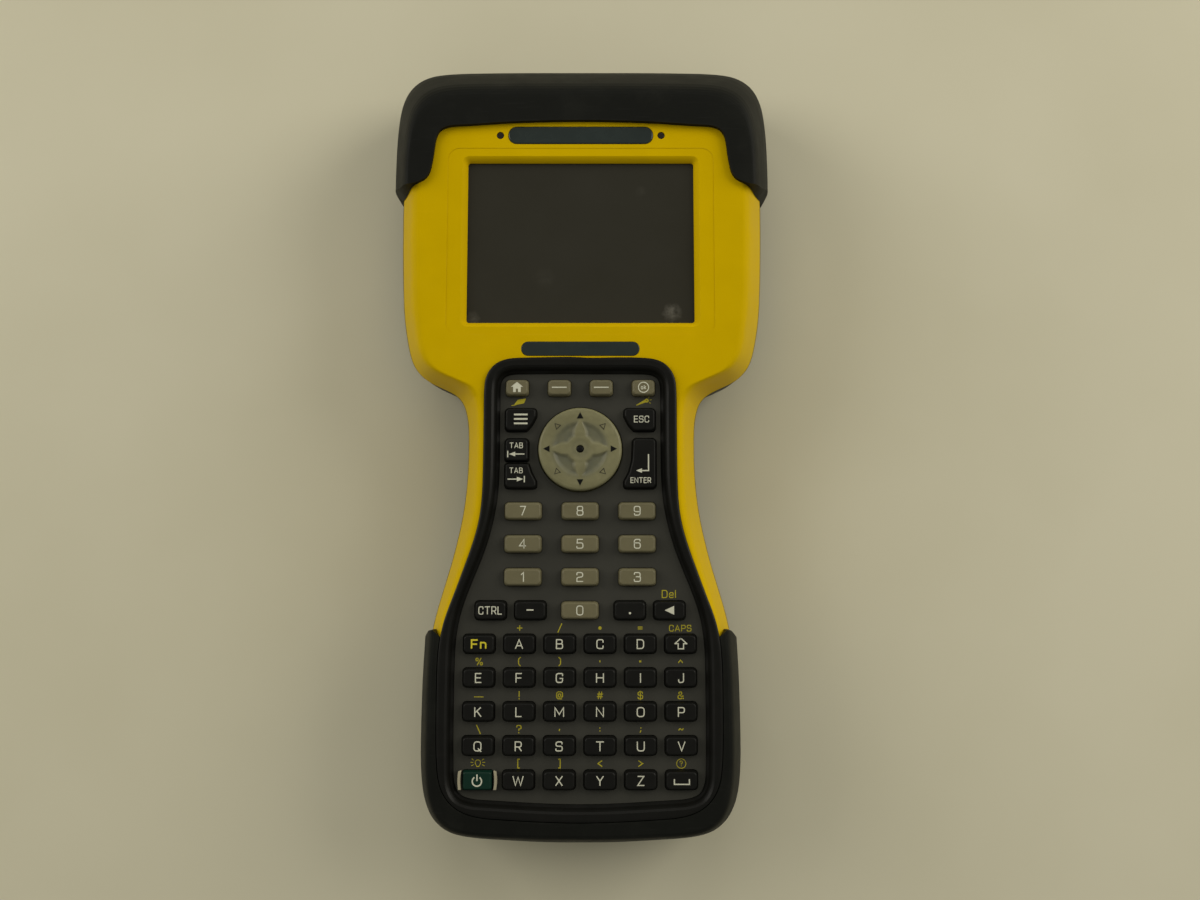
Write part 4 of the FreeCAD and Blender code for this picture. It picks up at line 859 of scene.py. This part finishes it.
def draw_lamp(relief, x, y):
    """Light bulb with three rays on each side."""
    relief.arc(x, y + 0.15, radius=0.85, width=0.22, start=-40, end=220, steps=24)
    relief.bar(x - 0.62, y - 0.45, x - 0.36, y - 0.95, width=0.22, drop=0.003)
    relief.bar(x + 0.62, y - 0.45, x + 0.36, y - 0.95, width=0.22, drop=0.003)
    relief.bar(x - 0.42, y - 1.05, x + 0.42, y - 1.05, width=0.24, drop=0.006)
    for side in (-1, 1):
        relief.rays(x, y + 0.1, inner=1.45, outer=2.3, angles=(-24, 4, 32), width=0.2,
                    side=side)


def draw_sheet(relief):
    """Five-cornered sheet with a short bar at its lower left."""
    relief.prism([(-21.6, 9.35), (-18.3, 10.0), (-17.7, 11.55), (-20.3, 11.2), (-21.0, 10.35)])
    relief.bar(-22.4, 9.25, -20.9, 9.5, width=0.26, drop=0.003)


def draw_wedge(relief):
    """Wedge widening to a round end, with three rays."""
    relief.prism([(18.1, 9.4), (18.35, 9.25), (21.6, 10.45), (21.2, 11.35)])
    relief.arc(21.6, 10.9, radius=0.42, width=0.5, steps=20, drop=0.003)
    relief.rays(21.6, 10.9, inner=0.95, outer=1.6, angles=(-35, 10, 55), width=0.18)


def mat_symbols():
    relief = Relief(*MAT_INK)
    for index, characters in MAT_ROWS.items():
        for j, char in enumerate(characters):
            if char != " ":
                relief.text(char, column(j), row(index) + ABOVE_KEY,
                            height=MAT_HEIGHTS.get(char, MAT_HEIGHT), weight=0.33,
                            stretch=0.97)
    relief.text("CAPS", column(5), -62.4, height=2.1, weight=0.27, stretch=0.93)
    relief.text("Del", 28.4, -51.6, height=2.6, weight=0.30, stretch=0.92)
    # ringed question mark over the space key
    help_y = row(5) + ABOVE_KEY
    relief.text("?", column(5), help_y, height=1.55, weight=0.2, stretch=0.85)
    relief.arc(column(5), help_y, radius=1.45, width=0.22, steps=32, drop=0.004)
    # underscore in the first column
    relief.bar(column(0) - 1.5, -83.9, column(0) + 1.5, -83.9, width=0.26)
    draw_lamp(relief, POWER_X, -104.35)
    draw_sheet(relief)
    draw_wedge(relief)
    add_mesh("mat_symbols", relief.mesh, "housing", "ink_yellow")


def power_key_guards():
    """Cream ribs left and right of the power key, their ends bowed to the left or right."""
    offset_x = 5.75
    half_width = 0.5
    bow = 0.25
    half_length = 2.95
    steps = 10
    relief = Relief(MAT_TOP, 45.66)
    for side in (-1, 1):
        x = POWER_X + side * offset_x
        points = []
        for edge, order in ((-1, range(steps + 1)), (1, range(steps, -1, -1))):
            for i in order:
                t = i / steps
                points.append((x + edge * half_width - side * bow * (2 * t - 1) ** 2,
                               row(5) - half_length + 2 * half_length * t))
        relief.prism(points)
    guards = add_mesh("power_key_guards", relief.mesh, "housing", "guard_cream")
    bevel = guards.modifiers.new("bevel", "BEVEL")
    bevel.width = 0.22 * MM
    bevel.segments = 3
    bevel.limit_method = "ANGLE"


mat_symbols()
power_key_guards()

# -------------------------------------------------------- navigation pad ---
NAV_Y = -5.2            # the pad is centred on X = 0
NAV_RADIUS = 13.45
NAV_HOLE = 1.27
NAV_FACE = 12.45        # radius where the shaped face ends
NAV_FACE_STEPS = 58
NAV_SIDES = 192
# radius, height above the end of the face
NAV_EDGE = [(12.75, -0.06), (13.02, -0.20), (13.24, -0.42), (13.38, -0.72),
            (NAV_RADIUS, -1.15), (NAV_RADIUS, -3.05)]
# radius, z: down inside the rim, out round the flange and back to the hole
NAV_UNDERSIDE = [(12.85, 43.6), (12.85, 41.5), (14.2, 41.5), (14.2, 41.1),
                 (5.8, 41.1), (5.8, 43.6), (NAV_HOLE, 43.6)]


def smooth_step(start, end, x):
    t = max(0.0, min(1.0, (x - start) / (end - start)))
    return t * t * (3 - 2 * t)


def from_axis(angle):
    """Angle to the nearest of the four directions along X and Y."""
    return min(abs((angle - axis + math.pi) % (2 * math.pi) - math.pi)
               for axis in (0, math.pi / 2, math.pi, -math.pi / 2))


def ridge_half_angle(radius):
    """The ridges narrow to points on their way out."""
    return math.radians(30) * (1 - smooth_step(4.2, 9.8, radius) * 0.90)


def nav_height(radius, angle):
    """Top of the disc: rim, dished quarters, hub and four pointed ridges."""
    half = ridge_half_angle(radius)
    ridge = 1 - smooth_step(half * 0.55, half * 1.15, from_axis(angle))
    dish = smooth_step(4.0, 5.2, radius) * (1 - smooth_step(7.3, 9.1, radius))
    crest = smooth_step(4.0, 5.5, radius) * (1 - smooth_step(8.4, 9.9, radius))
    rim = smooth_step(9.0, 11.0, radius) * (1 - smooth_step(11.4, 12.6, radius))
    hub_hollow = 1 - smooth_step(1.9, 3.9, radius)
    return (46.78 - 0.70 * dish * (1 - ridge) + 0.12 * ridge * crest - 0.28 * hub_hollow
            + 0.10 * rim)


def nav_darkness(radius, angle):
    """Painted shade: dark in the dished quarters, and a little round the hub."""
    half = ridge_half_angle(radius)
    dish = smooth_step(3.6, 5.4, radius) * (1 - smooth_step(7.6, 10.2, radius))
    off_ridge = smooth_step(half * 0.45, half * 1.25, from_axis(angle))
    return dish * off_ridge + 0.35 * (1 - smooth_step(1.6, 4.2, radius))


def nav_ring(mesh, radius, sides, height_at):
    """Ring of vertices round the pad's centre; height_at gives z for an angle."""
    angles = [2 * math.pi * k / sides for k in range(sides)]
    return [add_point(mesh, radius * math.cos(angle), NAV_Y + radius * math.sin(angle),
                      height_at(angle)) for angle in angles]


def nav_disc():
    mesh = bmesh.new()
    rings = []
    for i in range(NAV_FACE_STEPS + 1):
        radius = NAV_HOLE + (NAV_FACE - NAV_HOLE) * i / NAV_FACE_STEPS
        rings.append(nav_ring(mesh, radius, NAV_SIDES, lambda angle: nav_height(radius, angle)))
    face_end = nav_height(NAV_FACE, 0.4)    # at an angle clear of the ridges
    edge = [(radius, face_end + rise) for radius, rise in NAV_EDGE]
    for radius, z in edge + NAV_UNDERSIDE:
        rings.append(nav_ring(mesh, radius, NAV_SIDES, lambda angle: z))
    skin(mesh, rings + rings[:1])
    disc = add_mesh("nav_disc", mesh, "nav_pad", "nav_disc", smooth=True)
    # the dish attribute carries the painted shade of the dished quarters and the hub
    dish = disc.data.attributes.new("dish", "FLOAT", "POINT")
    for i, vertex in enumerate(disc.data.vertices):
        x, y = vertex.co.x / MM, vertex.co.y / MM - NAV_Y
        dish.data[i].value = nav_darkness(math.hypot(x, y), math.atan2(y, x))
    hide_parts("nav_pad")


def turned(points, angle):
    """Points (outward, sideways) turned about the pad's centre."""
    cos, sin = math.cos(angle), math.sin(angle)
    return [(cos * u - sin * v, NAV_Y + sin * u + cos * v) for u, v in points]


def nav_prints():
    """Solid arrows along X and Y, and outlined ones on the diagonals."""
    quarter = math.pi / 2
    arrows = Relief(46.6, 46.93)
    for k in range(4):
        arrows.prism(turned([(11.9, 0.0), (9.85, 1.05), (9.85, -1.05)], k * quarter))
    add_mesh("nav_arrows", arrows.mesh, "nav_pad", "ink_black")
    marks = Relief(46.6, 46.90)
    for k in range(4):
        marks.outline(turned([(11.5, 0.0), (9.85, 0.92), (9.85, -0.92)],
                             k * quarter + quarter / 2), width=0.24)
    add_mesh("nav_marks", marks.mesh, "nav_pad", "ink_faint")


def nav_centre():
    """Black domed button on the pivot."""
    top_z, bottom_z = 46.62, 45.0
    # radius, z
    profile = [(0.45, 46.61), (0.76, 46.56), (0.94, 46.46), (1.0, 46.3),
               (1.0, bottom_z), (0.8, bottom_z)]
    mesh = bmesh.new()
    top = add_point(mesh, 0, NAV_Y, top_z)
    bottom = add_point(mesh, 0, NAV_Y, bottom_z)
    rings = [nav_ring(mesh, radius, 40, lambda angle: z) for radius, z in profile]
    fan(mesh, rings[0], top)
    fan(mesh, rings[-1], bottom)
    skin(mesh, rings)
    add_mesh("nav_centre", mesh, "nav_pivot", "ink_black",
             smooth=True)


nav_disc()
nav_prints()
nav_centre()

# ------------------------------------------------------------- hand strap ---
LOWER_BAR_Y, UPPER_BAR_Y = -80.5, 15.5
BAR_Z = 5.3
LOOP_RADIUS = 2.55      # middle of the webbing round a bar
STRAP_HALF_WIDTH = 19.0
STRAP_THICKNESS = 1.15
STRAP_ACROSS = 14       # steps across the width
PAD_Y = (LOWER_BAR_Y + UPPER_BAR_Y) / 2
PAD_HALF_X, PAD_HALF_Y = 26.0, 38.5
PAD_LOW, PAD_HIGH = 0.95, 4.6
PAD_SIDES = 120
# inset from the edge, height share; the dip at 2.6 is the stitched line
SEAM_INSET = 2.6
PAD_PROFILE = [(0.0, 0.5), (0.12, 0.72), (0.5, 0.93), (1.2, 0.99), (2.1, 0.86),
               (SEAM_INSET, 0.80), (3.1, 0.86), (4.4, 1.04), (7.0, 1.12), (11.0, 1.16),
               (16.0, 1.18)]


def strap_end(bar_y, side):
    """(y, z) from under a bar, round it and back along the tail; side 1 runs back to +Y."""
    points = []
    for i in range(15):
        angle = math.radians(-90 + 250 * i / 14)
        points.append((bar_y - side * LOOP_RADIUS * math.cos(angle),
                       BAR_Z + LOOP_RADIUS * math.sin(angle)))
    for run in (2, 4, 7, 10, 13, 16):
        points.append((bar_y + side * (LOOP_RADIUS * 0.34 + run), BAR_Z + 2.40 - 0.075 * run))
    return points


def strap_webbing():
    """One strip from tail to tail, sagging slightly between the bars."""
    steps = 32
    span = []
    for i in range(1, steps):
        t = i / steps
        span.append((LOWER_BAR_Y + (UPPER_BAR_Y - LOWER_BAR_Y) * t,
                     BAR_Z - LOOP_RADIUS - 0.35 * math.sin(math.pi * t)))
    path = strap_end(LOWER_BAR_Y, 1)[::-1] + span + strap_end(UPPER_BAR_Y, -1)

    # x, half thickness: thinner at the two long edges
    section = []
    for i in range(STRAP_ACROSS + 1):
        t = -1 + 2 * i / STRAP_ACROSS
        section.append((t * STRAP_HALF_WIDTH, STRAP_THICKNESS / 2 * (1 - 0.5 * abs(t) ** 14)))
    around = section + [(x, -half) for x, half in section[::-1]]

    mesh = bmesh.new()
    rings = []
    for i, (y, z) in enumerate(path):
        before, after = path[max(i - 1, 0)], path[min(i + 1, len(path) - 1)]
        length = math.dist(before, after)
        normal_y = -(after[1] - before[1]) / length
        normal_z = (after[0] - before[0]) / length
        rings.append([add_point(mesh, x, y + normal_y * half, z + normal_z * half)
                      for x, half in around])
    skin(mesh, rings)
    mesh.faces.new(rings[0])
    mesh.faces.new(rings[-1][::-1])
    strap = add_mesh("strap_webbing", mesh, "housing", "strap_webbing",
                     smooth=True)
    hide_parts("hand_strap")


def pad_rim(inset):
    """Points of the pad's squarish outline, moved in by an inset."""
    power = 5.0     # higher is squarer
    points = []
    for k in range(PAD_SIDES):
        angle = 2 * math.pi * k / PAD_SIDES
        cos, sin = math.cos(angle), math.sin(angle)
        reach = 1.0 / (abs(cos) ** power + abs(sin) ** power) ** (1 / power)
        points.append(((PAD_HALF_X - inset) * reach * cos,
                       PAD_Y + (PAD_HALF_Y - inset) * reach * sin))
    return points


def strap_pad():
    """Pad crowned above and below, pulled in along the stitched line."""
    mesh = bmesh.new()
    upper, lower = [], []
    for inset, share in PAD_PROFILE:
        rim = pad_rim(inset)
        swell = (share - 0.5) * 0.86
        z = PAD_LOW + (PAD_HIGH - PAD_LOW) * (0.5 + swell)
        upper.append([add_point(mesh, x, y, z) for x, y in rim])
        if inset > 0:
            z = PAD_LOW + (PAD_HIGH - PAD_LOW) * (0.5 - swell)
            lower.append([add_point(mesh, x, y, z) for x, y in rim])
    skin(mesh, upper)
    skin(mesh, upper[:1] + lower)
    for rings in (upper, lower):
        last = rings[-1]
        fan(mesh, last, mesh.verts.new((0, PAD_Y * MM, last[0].co.z)))
    add_mesh("strap_pad", mesh, "housing", "strap_pad", smooth=True)


def strap_stitches():
    """Stitches round the pad, with gaps between them."""
    pitch = 2.4
    relief = Relief(1.2, 1.95)
    points = pad_rim(SEAM_INSET)
    for start, end in zip(points, points[1:] + points[:1]):
        run_x, run_y = end[0] - start[0], end[1] - start[1]
        count = max(1, round(math.hypot(run_x, run_y) / pitch))
        for j in range(count):
            t0, t1 = (j + 0.14) / count, (j + 0.86) / count
            relief.bar(start[0] + run_x * t0, start[1] + run_y * t0,
                       start[0] + run_x * t1, start[1] + run_y * t1, width=0.42)
    add_mesh("strap_stitches", relief.mesh, "housing", "thread")


strap_webbing()
strap_pad()
strap_stitches()


# ------------------------------------------- floor, lights, world, camera ---
def add_floor():
    shade = Shader("floor", default_nodes=True)
    color = shade.ramp(shade.noise(scale=7.0, detail=4.0, roughness=0.5), start=0.35, end=0.65,
                       low=(0.565, 0.535, 0.395, 1), high=(0.605, 0.575, 0.435, 1))
    shade.feed(shade.bsdf, {"Base Color": color, "Roughness": 0.75})
    half = 1.6      # metres
    mesh = bmesh.new()
    corners = ((-half, -half), (half, -half), (half, half), (-half, half))
    mesh.faces.new([mesh.verts.new((x, y, 0.0)) for x, y in corners])
    link_mesh("floor", mesh, "floor")


def area_light(name, place, size, power, color):
    """Rectangular light aimed at the origin; place and size are in metres."""
    light = bpy.data.lights.new(name, "AREA")
    light.shape = "RECTANGLE"
    light.size, light.size_y = size
    light.energy = power
    light.color = color
    holder = bpy.data.objects.new(name, light)
    holder.location = place
    holder.rotation_euler = (-Vector(place)).to_track_quat("-Z", "Y").to_euler()
    COLLECTION.objects.link(holder)


def set_world():
    world = bpy.data.worlds.new("world")
    bpy.context.scene.world = world
    world.use_nodes = True
    background = world.node_tree.nodes["Background"]
    background.inputs["Color"].default_value = (0.80, 0.785, 0.70, 1)
    background.inputs["Strength"].default_value = 0.37
    bpy.context.scene.view_settings.view_transform = "Standard"
    bpy.context.scene.view_settings.look = "None"


def add_camera():
    """Camera over the keypad, looking down and tilted a little towards the screen."""
    camera = bpy.data.cameras.new("camera")
    camera.sensor_width = 36.0
    camera.lens = 35.1
    camera.clip_start = 0.01
    holder = bpy.data.objects.new("camera", camera)
    holder.location = (0.0064, -0.0482, 0.4206)
    holder.rotation_euler = (math.radians(6.5), 0, 0)
    COLLECTION.objects.link(holder)
    bpy.context.scene.camera = holder


add_floor()
area_light("right", place=(1.15, 0.50, 0.62), size=(0.8, 1.2), power=11.6,
           color=(1.0, 0.955, 0.85))
area_light("left", place=(-1.15, 0.45, 0.62), size=(0.8, 1.2), power=8.8,
           color=(1.0, 0.960, 0.87))
area_light("back", place=(-0.10, 1.40, 1.15), size=(1.2, 0.7), power=4.4,
           color=(1.0, 0.965, 0.88))
set_world()
add_camera()
